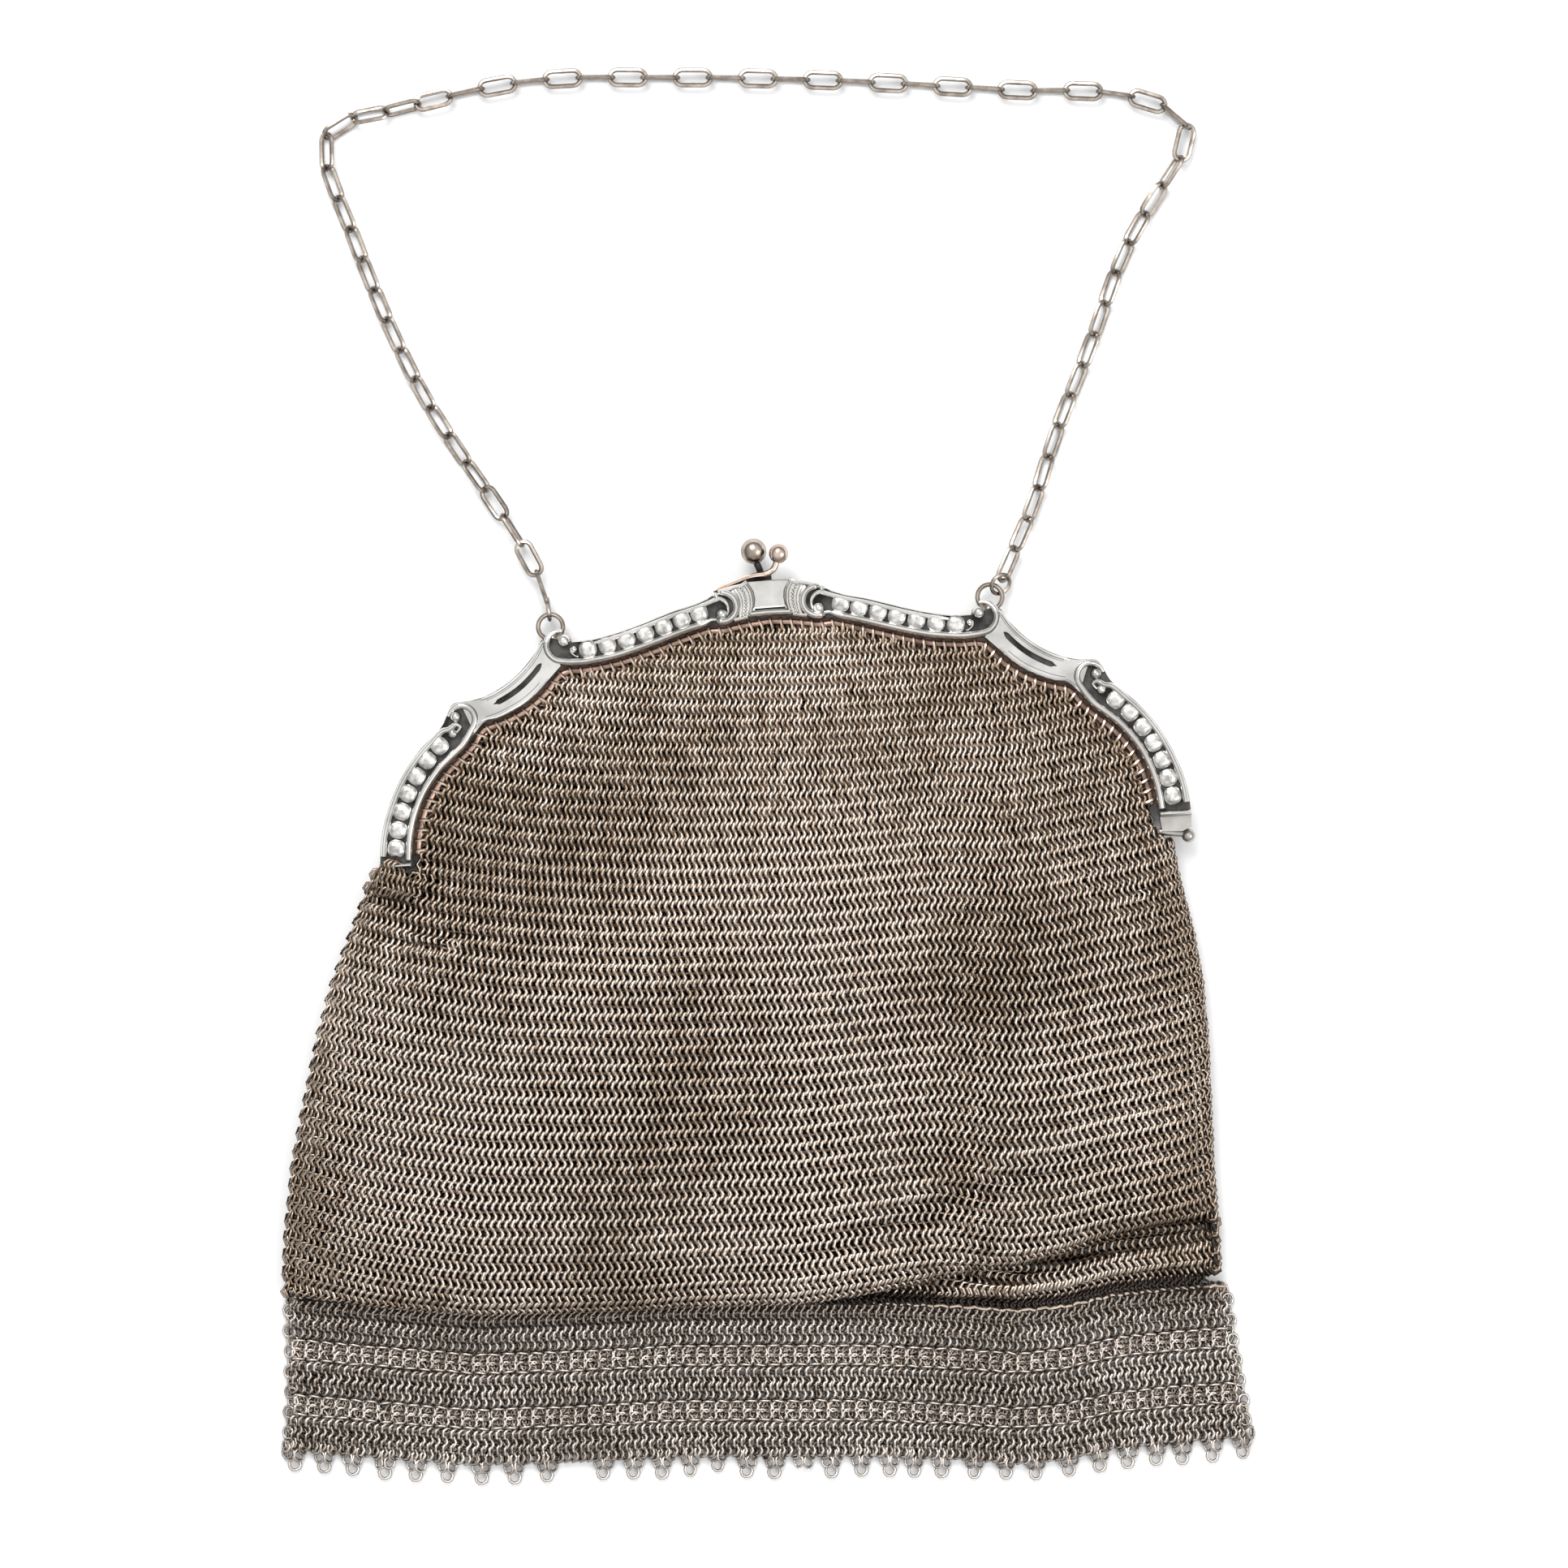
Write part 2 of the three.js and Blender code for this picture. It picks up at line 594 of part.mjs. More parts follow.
function bagPlace(across, up) {
  const [hemX, hemY] = hemPoint(across);
  const top = mouth.getPointAt((across + 1) / 2);
  const leftIn = tableAt(sideRows, 'up', up * 100, 'left') / 100;
  const rightIn = tableAt(sideRows, 'up', up * 100, 'right') / 100;
  const drawn = lerp(leftIn, rightIn, (across + 1) / 2);
  return [lerp(hemX, top.x, drawn), lerp(hemY, top.y, up)];
}

function foldRise(across, up) {
  let rise = 0;
  for (const fold of folds) {
    const dx = (fold.toX - fold.fromX) / 100 * bagHemLeft;
    const dy = (fold.toUp - fold.fromUp) / 100 * bagHeight;
    const px = (across - fold.fromX / 100) * bagHemLeft;
    const py = (up - fold.fromUp / 100) * bagHeight;
    const share = THREE.MathUtils.clamp((px * dx + py * dy) / (dx * dx + dy * dy), 0, 1);
    const away = Math.hypot(px - dx * share, py - dy * share) / (bagCrown * fold.width / 100);
    rise += bagCrown * fold.rise / 100 * Math.exp(-away * away);
  }
  return rise;
}

// Heights of the front and the back over a place, less the wall on the inside
function bagHeights(across, up, inner) {
  const wall = inner ? bagWall : 0;
  const settle = THREE.MathUtils.smoothstep(up, 0.66, 0.9);
  const side = Math.sqrt(Math.max(0, 1 - Math.abs(across) ** lerp(5, 40, settle)));
  const fromHem = Math.min(1, up * bagHeight / hemRound);
  const hem = Math.sqrt(1 - (1 - fromHem) ** 2);
  const mouthTop = mouthRimZ + bagMouth;
  const top = lerp(bagCrown + foldRise(across, up), mouthTop, settle);
  const low = lerp(0, mouthRimZ, settle);
  const edge = lerp(bagFold, (mouthTop + mouthRimZ) / 2, settle);
  return {
    front: lerp(edge, top - wall, side * hem),
    back: lerp(edge, low + wall, Math.min(1, side * hem * backPlateau)),
  };
}

// The bag: front and back in one hollow tube of mail, closed at the sides and the hem
const acrossHalf = [0, 0.2, 0.4, 0.59, 0.77, 0.92, 0.985, 1];
const acrossRow = [...acrossHalf.slice(1).reverse().map(across => -across), ...acrossHalf];
const acrossSteps = acrossRow.length - 1;
const upRows = [0, 0.03, 0.08, 0.16, 0.3, 0.48, 0.66, 0.8, 0.9, 1];
function bagShell() {
  const positions = [];
  const triangles = [];
  const rows = { outer: [], inner: [] };
  const insetAcross = bagWall * 1.1 / bagHemLeft;
  const insetUp = bagWall * 1.5 / bagHeight;
  for (const layer of ['outer', 'inner']) {
    const inside = layer === 'inner';
    for (const up of upRows) {
      const loop = [];
      for (let step = 0; step < 2 * acrossSteps; step += 1) {
        const front = step <= acrossSteps;
        const across = acrossRow[front ? step : 2 * acrossSteps - step];
        const place = inside
          ? bagPlace(across * (1 - insetAcross), lerp(insetUp, 1, up))
          : bagPlace(across, up);
        const height = bagHeights(across, up, inside);
        loop.push(positions.length / 3);
        positions.push(place[0], place[1], front ? height.front : height.back);
      }
      rows[layer].push(loop);
    }
  }
  const count = 2 * acrossSteps;
  function quad(a, b, c, d) {
    triangles.push(a, b, c, a, c, d);
  }
  for (const layer of ['outer', 'inner']) {
    for (let k = 1; k < upRows.length; k += 1) {
      for (let step = 0; step < count; step += 1) {
        const next = (step + 1) % count;
        const [a, b] = [rows[layer][k - 1][step], rows[layer][k - 1][next]];
        const [c, d] = [rows[layer][k][next], rows[layer][k][step]];
        if (layer === 'outer') quad(a, b, c, d);
        else quad(b, a, d, c);
      }
    }
  }
  const [outerTop, innerTop] = [rows.outer.at(-1), rows.inner.at(-1)];
  for (let step = 0; step < count; step += 1) {
    const next = (step + 1) % count;
    quad(outerTop[step], outerTop[next], innerTop[next], innerTop[step]);
  }
  const geometry = new THREE.BufferGeometry();
  geometry.setAttribute('position', new THREE.Float32BufferAttribute(positions, 3));
  geometry.setIndex(triangles);
  return solid(withoutSlivers(geometry));
}

// Front and back share their points along the hem, so the faces that fall flat there go
function withoutSlivers(geometry) {
  const merged = mergeVertices(geometry, 1e-4);
  const kept = [];
  const index = merged.index.array;
  for (let k = 0; k < index.length; k += 3) {
    const [a, b, c] = [index[k], index[k + 1], index[k + 2]];
    if (a !== b && b !== c && c !== a) kept.push(a, b, c);
  }
  merged.setIndex(kept);
  return merged;
}

// The fringe: a flat band of mail under the hem, two openwork rows, and a row of points
const missingPoint = 9;
function fringeBand() {
  const top = [[fringeRightTop, hemPoint(1)[1] + fringeTuck]];
  const spans = 12;
  for (let k = 1; k < spans; k += 1) {
    const [x, y] = hemPoint(lerp(1, -1, k / spans));
    top.push([x, y + fringeTuck]);
  }
  top.push([-fringeLeft, hemPoint(-1)[1] + fringeTuck]);
  const bottom = [];
  const pitch = (fringeLeft + fringeRightFoot) / pointCount;
  for (let k = 0; k < pointCount; k += 1) {
    const x = pitch * k - fringeLeft;
    const base = fringeLine(x, 1);
    const foot = base - (k === missingPoint ? pointHeight * 0.15 : pointHeight);
    bottom.push([x, base], [x + pitch * 0.35, foot], [x + pitch * 0.65, foot]);
  }
  bottom.push([fringeRightFoot, fringeLine(fringeRightFoot, 1)]);
  const holes = [];
  for (const down of openworkRows) {
    const right = lerp(fringeRightTop, fringeRightFoot, down);
    for (let k = 0; k < openworkCount; k += 1) {
      const x = lerp(-fringeLeft, right, (k + 0.5) / openworkCount);
      const y = fringeLine(x, down);
      const [w, h] = [openworkWidth / 2, openworkHeight / 2];
      holes.push([[x - w, y - h], [x - w, y + h], [x + w, y + h], [x + w, y - h]]);
    }
  }
  return plate([...bottom, ...top], 0, fringeThickness, holes);
}

function fringeLine(x, down) {
  const across = 2 * (x + bagHemLeft) / (bagHemLeft + bagHemRight) - 1;
  return hemY(across) - clearance * 2 - fringeHeight * down;
}

// Jump rings between the frame's rings and the chain. In degrees: how far each turns aside from
// the way to the chain's first bend, how far it leans over, and how far its link swings up in it.
const jumpPose = {
  left: { aside: -8, lean: 0, swing: 0 },
  right: { aside: -15, lean: 50, swing: 45 },
};
const jumpReach = jumpRingRadius - jumpRingWire - clearance;
const poseOf = side => (side < 0 ? jumpPose.left : jumpPose.right);
function jumpPlace(side) {
  const [ringX, ringY] = onPurse(flip(frameX(frameRingX), side), ringsY);
  const [bendX, bendY] = chainRoute.at(side < 0 ? 0 : -1);
  const aim = Math.atan2(bendY - ringY, bendX - ringX) - frameTurn + radians(poseOf(side).aside);
  const lean = radians(poseOf(side).lean);
  const out = frameRingRadius + jumpReach - frameRingWire - clearance * Math.sin(lean) * 0.7;
  const along = new THREE.Vector3(Math.cos(aim), Math.sin(aim), 0);
  const normal = new THREE.Vector3(
    Math.cos(lean) * Math.sin(aim), -Math.cos(lean) * Math.cos(aim), Math.sin(lean));
  const rising = new THREE.Vector3().crossVectors(normal, along);
  const ring = new THREE.Vector3(flip(frameX(frameRingX), side), ringsY, backZ);
  const middle = ring.addScaledVector(along, out);
  return { aim, lean, along, rising, middle };
}

function jumpRing(side) {
  const place = jumpPlace(side);
  const ring = new THREE.TorusGeometry(jumpRingRadius, jumpRingWire, 5, 10);
  ring.rotateX(Math.PI / 2 - place.lean);
  ring.rotateZ(place.aim);
  ring.translate(place.middle.x, place.middle.y, place.middle.z);
  return solid(ring);
}

// The chain: one wire link after another along the route, each turned on the last
const linkLength = linkPitch + 2 * linkWire + linkBite;
function chainLink(from, to, roll) {
  const middleRadius = linkWidth / 2 - linkWire;
  const stretch = (linkLength - linkWidth) / 2;
  const section = Array.from({ length: 6 }, (_, k) => {
    const angle = Math.PI + 2 * Math.PI * (k % 5) / 5;
    return new THREE.Vector2(middleRadius + linkWire * Math.cos(angle), linkWire * Math.sin(angle));
  });
  const link = new THREE.LatheGeometry(section, 10, Math.PI / 2);
  const place = link.attributes.position;
  for (let k = 0; k < place.count; k += 1) {
    place.setX(k, place.getX(k) + Math.sign(place.getX(k)) * stretch);
  }
  link.rotateX(Math.PI / 2);
  const along = new THREE.Vector3().subVectors(to, from).normalize();
  const up = new THREE.Vector3(0, 0, 1);
  const across = new THREE.Vector3().crossVectors(up, along).normalize();
  up.crossVectors(along, across);
  const turn = new THREE.Matrix4().makeBasis(along, across, up);
  link.applyMatrix4(new THREE.Matrix4().makeRotationX(roll));
  link.applyMatrix4(turn);
  const middle = new THREE.Vector3().addVectors(from, to).multiplyScalar(0.5);
  link.translate(middle.x, middle.y, middle.z);
  return solid(link);
}

// Where the first or last link meets the next, its own end held inside the jump ring
function chainEnd(side, towards) {
  const place = jumpPlace(side);
  const swing = radians(poseOf(side).swing);
  const reach = (jumpReach - linkWire) * 0.75;
  const held = place.middle.clone().addScaledVector(place.along, reach * Math.cos(swing));
  held.addScaledVector(place.rising, reach * Math.sin(swing));
  const [x, y] = onPurse(held.x, held.y);
  const end = new THREE.Vector3(x, y, held.z);
  const lead = new THREE.Vector3(towards[0] - x, towards[1] - y, 0).normalize();
  return end.addScaledVector(lead, linkBite / 2);
}

// How high the middle of a link lies when it is rolled by this angle on the surface
function linkRest(roll) {
  const lean = Math.max(Math.abs(Math.sin(roll)), Math.abs(Math.cos(roll)));
  return (linkWidth / 2 - linkWire) * lean + linkWire;
}

// The top run lies with one link flat and the next on edge, the sides lie twisted between,
// and the first link lies square to its jump ring
function rollAt(share) {
  const { smoothstep } = THREE.MathUtils;
  const top = smoothstep(share, 0.29, 0.36) - smoothstep(share, 0.73, 0.8);
  const first = 1 - smoothstep(share, 0.01, 0.1);
  return radians(lerp(45, 90, Math.max(top, first)));
}

// Places one chord apart along a curve, each found between two close points of it
function stepsAlong(curve, chord) {
  const places = [curve.getPointAt(0)];
  const fine = 1500;
  let before = places[0];
  for (let k = 1; k <= fine; k += 1) {
    const point = curve.getPointAt(k / fine);
    const far = point.distanceTo(places.at(-1));
    if (far >= chord) {
      const near = before.distanceTo(places.at(-1));
      places.push(before.clone().lerp(point, (chord - near) / (far - near)));
    }
    before = point;
  }
  return places;
}

function chain() {
  const start = chainEnd(-1, chainRoute[0]);
  const end = chainEnd(1, chainRoute.at(-1));
  const route = chainRoute.map(([x, y]) => new THREE.Vector3(x, y, 0));
  const onSurface = [start.clone().setZ(0), ...route, end.clone().setZ(0)];
  const curve = new THREE.CatmullRomCurve3(onSurface, false, 'centripetal');
  const count = stepsAlong(curve, linkPitch).length - 1;
  let [low, high] = [linkPitch * 0.97, linkPitch * 1.03];
  for (let k = 0; k < 12; k += 1) {
    const middle = (low + high) / 2;
    const places = stepsAlong(curve, middle);
    if (places.length - 1 >= count) low = middle;
    else high = middle;
  }
  const places = stepsAlong(curve, low);
  const last = places.length - 1;
  places[last] = end;
  for (const [k, place] of places.entries()) {
    const drop = Math.min(k, last - k) / liftedLinks;
    const lifted = k < last / 2 ? start.z : end.z;
    place.z = lerp(lifted, linkRest(rollAt(k / last)), Math.min(1, drop));
  }
  const links = [];
  for (let k = 1; k <= last; k += 1) {
    const roll = rollAt((k - 0.5) / last) + (k % 2) * Math.PI / 2;
    links.push(chainLink(places[k - 1], places[k], roll));
  }
  return joined(links);
}

const frame = new THREE.Group();
frame.rotation.z = frameTurn;
frame.position.set(frameMiddleX, frameEndsY, 0);
frame.add(
  piece('frame_front', frameFront(), silver),
  piece('frame_back', frameBack(), backSilver),
  piece('hinge_pin_left', hingePin(-1, hiddenPinLength, hingePinRadius), backSilver),
  piece('hinge_pin_right', hingePin(1, hingePinLength, hingeBallRadius), backSilver),
  piece('clasp_spring', claspSpring(), copperSteel),
  piece('jump_ring_left', jumpRing(-1), chainMetal),
  piece('jump_ring_right', jumpRing(1), chainMetal),
);

const purse = new THREE.Group();
purse.add(
  frame,
  piece('mesh_bag', bagShell(), mail),
  piece('fringe_band', fringeBand(), fringeMail),
  piece('chain', chain(), chainMetal),
);

// The origin goes to the middle of the outline
purse.updateMatrixWorld(true);
const outline = new THREE.Box3().setFromObject(purse, true);
const middle = outline.getCenter(new THREE.Vector3());
purse.position.set(-middle.x, -middle.y, -outline.min.z);

export default purse;
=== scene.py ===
import math

import bmesh
import bpy
import numpy as np
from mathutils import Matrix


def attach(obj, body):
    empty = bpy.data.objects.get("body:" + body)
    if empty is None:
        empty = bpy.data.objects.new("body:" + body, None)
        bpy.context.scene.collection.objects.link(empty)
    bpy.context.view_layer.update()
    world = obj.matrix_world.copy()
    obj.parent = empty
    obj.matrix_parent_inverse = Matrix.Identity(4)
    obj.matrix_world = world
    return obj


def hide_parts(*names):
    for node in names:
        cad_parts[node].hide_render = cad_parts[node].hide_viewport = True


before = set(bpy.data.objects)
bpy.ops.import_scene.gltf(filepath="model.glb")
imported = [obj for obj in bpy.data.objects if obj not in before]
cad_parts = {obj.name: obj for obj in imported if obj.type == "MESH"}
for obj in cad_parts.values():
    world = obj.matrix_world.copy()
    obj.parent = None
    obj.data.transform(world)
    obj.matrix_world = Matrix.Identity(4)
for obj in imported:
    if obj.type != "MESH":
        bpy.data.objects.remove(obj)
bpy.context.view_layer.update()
mm = 0.001

# Camera
# It looks straight down on the purse from 1.2 m and takes in a square of 251 mm. The middle of
# the picture lies 2.9 mm to the right of the purse's middle and 1.2 mm below it.
camera_data = bpy.data.cameras.new("camera")
camera_data.sensor_width = 36
camera_data.lens = 36 * 1.2 / 0.2512
camera = bpy.data.objects.new("camera", camera_data)
camera.location = (2.9 * mm, -1.2 * mm, 1.2)
bpy.context.scene.collection.objects.link(camera)
bpy.context.scene.camera = camera

# Light and floor
# A white table under a soft overhead light, with a wide key from the top of the picture. The sky
# is darker near the horizon, so the silver has something to reflect.
scene = bpy.context.scene
scene.view_settings.view_transform = "Standard"
scene.view_settings.look = "None"
world = bpy.data.worlds.new("studio")
scene.world = world
world.use_nodes = True
tree = world.node_tree
tree.nodes.clear()
output = tree.nodes.new("ShaderNodeOutputWorld")
background = tree.nodes.new("ShaderNodeBackground")
place = tree.nodes.new("ShaderNodeTexCoord")
height = tree.nodes.new("ShaderNodeSeparateXYZ")
ramp = tree.nodes.new("ShaderNodeValToRGB")
for element, position, grey in zip(ramp.color_ramp.elements, (0.0, 0.85), (0.05, 1)):
    element.position = position
    element.color = (grey, grey, grey, 1)
tree.links.new(place.outputs["Generated"], height.inputs[0])
tree.links.new(height.outputs["Z"], ramp.inputs[0])
tree.links.new(ramp.outputs[0], background.inputs["Color"])
tree.links.new(background.outputs[0], output.inputs[0])
background.inputs["Strength"].default_value = 1.1

for name, where, size, power in (
    ("key", (-0.3, 0.85, 1.1), 0.7, 13),
    ("fill", (0.9, -0.3, 1.0), 0.8, 5),
):
    lamp_data = bpy.data.lights.new(name, "AREA")
    lamp_data.shape = "SQUARE"
    lamp_data.size = size
    lamp_data.energy = power
    lamp = bpy.data.objects.new(name, lamp_data)
    lamp.location = where
    lamp.rotation_euler = lamp.location.to_track_quat("Z", "Y").to_euler()
    scene.collection.objects.link(lamp)

floor_mesh = bpy.data.meshes.new("floor")
floor_mesh.from_pydata(
    [(-1.5, -1.5, 0), (1.5, -1.5, 0), (1.5, 1.5, 0), (-1.5, 1.5, 0)], [], [(0, 1, 2, 3)])
floor = bpy.data.objects.new("floor", floor_mesh)
floor.location = (0, 0, -0.00005)
scene.collection.objects.link(floor)
paper = bpy.data.materials.new("white_paper")
paper.use_nodes = True
sheen_free = paper.node_tree.nodes["Principled BSDF"].inputs
sheen_free["Base Color"].default_value = (0.93, 0.93, 0.93, 1)
sheen_free["Roughness"].default_value = 0.9
sheen_free["Specular IOR Level"].default_value = 0.1
floor_mesh.materials.append(paper)

# Frame
# Two cast halves of silver plate that close on each other, each with beads in a dark channel
# between two polished rails, scrolls between its arms, pierced links and a plain panel in the
# middle. The back half also carries the rings for the chain and the larger knob.
def silver(name, bright, dark, gloss, patch=60, tone=0.0, worn=None, facing_shade=None, grain=0.0):
    """Silver in bright and dull patches. Worn gives the heights between which oxidised silver gives
    way to metal, and facing shade does so for how far a surface faces up, as painted shade on the
    side turned away. Tone weighs each ring's tone, which holds random variation and painted shade."""
    material = bpy.data.materials.new(name)
    material.use_nodes = True
    nodes, links = material.node_tree.nodes, material.node_tree.links
    shader = nodes["Principled BSDF"]
    shader.inputs["Metallic"].default_value = 1.0

    def add(kind, **values):
        node = nodes.new("ShaderNode" + kind)
        for socket, value in values.items():
            node.inputs[socket.replace("_", " ")].default_value = value
        return node

    # Mixes a dark colour in by height or by facing: real oxide in recesses, and painted shade.
    def over_oxide_and_shade(colour, measured, low, high, oxide_and_shade, blending):
        depth, mix = add("SeparateXYZ"), add("Mix")
        raised = add("MapRange", From_Min=low, From_Max=high)
        raised.interpolation_type = blending
        mix.data_type = "RGBA"
        mix.inputs["A"].default_value = (*oxide_and_shade, 1)
        links.new(measured, depth.inputs[0])
        links.new(depth.outputs["Z"], raised.inputs["Value"])
        links.new(raised.outputs[0], mix.inputs["Factor"])
        links.new(colour, mix.inputs["B"])
        return mix.outputs["Result"]

    where = add("TexCoord").outputs["Object"]
    patches = add("TexNoise", Scale=patch, Detail=4)
    links.new(where, patches.inputs["Vector"])
    share = patches.outputs["Fac"]
    if tone:
        ring, spread = add("Attribute"), add("Math")
        ring.attribute_name = "tone"
        spread.operation = "MULTIPLY_ADD"
        spread.inputs[1].default_value = tone
        links.new(ring.outputs["Fac"], spread.inputs[0])
        links.new(share, spread.inputs[2])
        share = spread.outputs[0]
    colours = add("ValToRGB")
    for element, position, shade in zip(colours.color_ramp.elements, (0.35, 0.62), (dark, bright)):
        element.position = position
        element.color = (*shade, 1)
    links.new(share, colours.inputs[0])
    colour = colours.outputs[0]
    if worn:
        colour = over_oxide_and_shade(colour, where, *worn, "LINEAR")
    # Painted shade: the surface is mixed towards near black by how far it faces up.
    if facing_shade:
        facing = add("NewGeometry").outputs["Normal"]
        colour = over_oxide_and_shade(colour, facing, *facing_shade, (0.05, 0.04, 0.035), "SMOOTHSTEP")
    links.new(colour, shader.inputs["Base Color"])
    rough = add("MapRange", To_Min=gloss + 0.12, To_Max=gloss)
    links.new(patches.outputs["Fac"], rough.inputs["Value"])
    links.new(rough.outputs[0], shader.inputs["Roughness"])
    if grain:
        fine, bump = add("TexNoise", Scale=2600), add("Bump", Strength=grain, Distance=0.0001)
        links.new(where, fine.inputs["Vector"])
        links.new(fine.outputs["Fac"], bump.inputs["Height"])
        links.new(bump.outputs[0], shader.inputs["Normal"])
    return material


def piece(name, bodies, materials, replaced):
    """A piece from closed bodies, carried by the purse. A body is its points in millimetres, its
    faces, and a material number for all of them or for each."""
    points, faces, numbers = [], [], []
    for body_points, body_faces, number in bodies:
        start = len(points)
        points.extend(np.asarray(body_points) * mm)
        faces.extend([start + k for k in face] for face in body_faces)
        numbers.extend(number if isinstance(number, list) else [number] * len(body_faces))
    mesh = bpy.data.meshes.new(name)
    mesh.from_pydata([tuple(point) for point in points], [], faces)
    mesh.polygons.foreach_set("material_index", numbers)
    turned = bmesh.new()
    turned.from_mesh(mesh)
    bmesh.ops.recalc_face_normals(turned, faces=turned.faces)
    turned.to_mesh(mesh)
    turned.free()
    mesh.polygons.foreach_set("use_smooth", [True] * len(mesh.polygons))
    mesh.set_sharp_from_angle(angle=math.radians(35))
    for material in materials:
        mesh.materials.append(material)
    made = bpy.data.objects.new(name, mesh)
    scene.collection.objects.link(made)
    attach(made, "root")
    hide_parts(replaced)


def smooth(points, count):
    """A smooth line through a few points, taken at even steps."""
    points = np.asarray(points, float)
    knots = np.sqrt(np.linalg.norm(np.diff(points, axis=0), axis=1))
    before = 2 * points[0] - points[1]
    after = 2 * points[-1] - points[-2]
    full = np.vstack([before, points, after])
    times = np.concatenate([[-knots[0]], [0], np.cumsum(knots), [knots.sum() + knots[-1]]])
    fine = []
    for k in range(1, len(full) - 2):
        t0, t1, t2, t3 = times[k - 1:k + 3]
        p0, p1, p2, p3 = full[k - 1:k + 3]
        t = np.linspace(t1, t2, 40, endpoint=False)[:, None]
        a = (t1 - t) / (t1 - t0) * p0 + (t - t0) / (t1 - t0) * p1
        b = (t2 - t) / (t2 - t1) * p1 + (t - t1) / (t2 - t1) * p2
        c = (t3 - t) / (t3 - t2) * p2 + (t - t2) / (t3 - t2) * p3
        d = (t2 - t) / (t2 - t0) * a + (t - t0) / (t2 - t0) * b
        e = (t3 - t) / (t3 - t1) * b + (t - t1) / (t3 - t1) * c
        fine.append((t2 - t) / (t2 - t1) * d + (t - t1) / (t2 - t1) * e)
    fine = np.vstack(fine + [points[-1:]])
    length = np.concatenate([[0], np.cumsum(np.linalg.norm(np.diff(fine, axis=0), axis=1))])
    even = np.linspace(0, length[-1], count)
    return np.column_stack([np.interp(even, length, fine[:, k]) for k in range(fine.shape[1])])


def sweep(line, section, up=(0, 0, 1), scale=None, closed=False):
    """A wire or moulding along a line. Its section's points are (across, up) pairs."""
    line = np.asarray(line, float)
    count, around = len(line), len(section)
    if closed:
        along = np.roll(line, -1, axis=0) - np.roll(line, 1, axis=0)
    else:
        along = np.gradient(line, axis=0)
    along /= np.linalg.norm(along, axis=1)[:, None]
    up = np.broadcast_to(np.asarray(up, float), line.shape)
    across = np.cross(along, up)
    across /= np.linalg.norm(across, axis=1)[:, None]
    rise = np.cross(across, along)
    scale = np.ones(count) if scale is None else np.asarray(scale, float)
    section = np.asarray(section, float)
    points = (line[:, None]
              + across[:, None] * (section[None, :, :1] * scale[:, None, None])
              + rise[:, None] * (section[None, :, 1:] * scale[:, None, None]))
    faces = []
    for k in range(count if closed else count - 1):
        row, following = k * around, (k + 1) % count * around
        for j in range(around):
            after = (j + 1) % around
            faces.append((row + j, row + after, following + after, following + j))
    if not closed:
        faces.append(tuple(range(around)))
        faces.append(tuple((count - 1) * around + j for j in reversed(range(around))))
    return points.reshape(-1, 3), faces


def round_section(radius, sides, flat=1.0):
    angles = [2 * math.pi * k / sides for k in range(sides)]
    return [(radius * math.cos(a), flat * radius * math.sin(a)) for a in angles]


def ball(middle, radius, around=20, up=12, lowest=-1.0, stretch=(1, 1, 1)):
    """A ball, or the part of one above its lowest height."""
    points, rows, faces = [], [], []
    for level in np.linspace(math.asin(lowest), math.pi / 2, up + 1):
        ring = math.cos(level)
        count = 1 if ring < 1e-6 else around
        rows.append(range(len(points), len(points) + count))
        points.extend((ring * math.cos(2 * math.pi * j / around),
                       ring * math.sin(2 * math.pi * j / around), math.sin(level))
                      for j in range(count))
    for lower, upper in zip(rows, rows[1:]):
        for j in range(around):
            after = (j + 1) % around
            if len(lower) == 1:
                faces.append((lower[0], upper[after], upper[j]))
            elif len(upper) == 1:
                faces.append((lower[j], lower[after], upper[0]))
            else:
                faces.append((lower[j], lower[after], upper[after], upper[j]))
    if len(rows[0]) > 1:
        faces.append(tuple(reversed(rows[0])))
    return np.asarray(points) * radius * np.asarray(stretch) + np.asarray(middle), faces


# The frame is drawn upright, in millimetres from the middle of the line between its ends, and
# lies turned 3.9 degrees to the left. Its outer and inner edges follow one table of sections.
turn = math.radians(3.9)
half_span, rise = 64.8, 41.9


def on_purse(points):
    """Points of the upright frame, turned and moved to where it lies."""
    points = np.asarray(points, float)
    x = 3.2 + points[..., 0] * math.cos(turn) - points[..., 1] * math.sin(turn)
    y = -10.5 + points[..., 0] * math.sin(turn) + points[..., 1] * math.cos(turn)
    return np.concatenate([np.stack([x, y], -1), points[..., 2:]], -1)


def on_frame(shape, number=0):
    """A shape of points and faces as a body in the frame's place."""
    return on_purse(shape[0]), shape[1], number


frame_sections = np.array([
    # outer x, outer y, inner x, inner y, in hundredths of the half span and of the rise
    (0, 100, 0, 86.4), (7.1, 99.3, 7.1, 85.4), (13.3, 95.9, 12.8, 84.0),
    (16.4, 93.6, 15.4, 84.2), (23.9, 90.6, 22.5, 81.3), (32.4, 86.4, 31.2, 77.2),
    (40.1, 83.2, 39.5, 74.0), (48.1, 81.6, 47.8, 72.6), (56.2, 83.4, 52.8, 72.1),
    (58.0, 79.0, 55.3, 67.5), (63.7, 69.7, 60.8, 59.9), (70.4, 63.7, 68.4, 54.3),
    (75.0, 61.8, 73.0, 52.5), (79.4, 61.0, 74.6, 48.6), (82.4, 53.0, 77.6, 43.7),
    (88.4, 44.2, 83.5, 35.6), (93.7, 33.4, 88.0, 26.0), (97.2, 22.0, 90.6, 16.0),
    (99.2, 11.7, 91.7, 7.4), (100, 0, 92.1, 0),
])
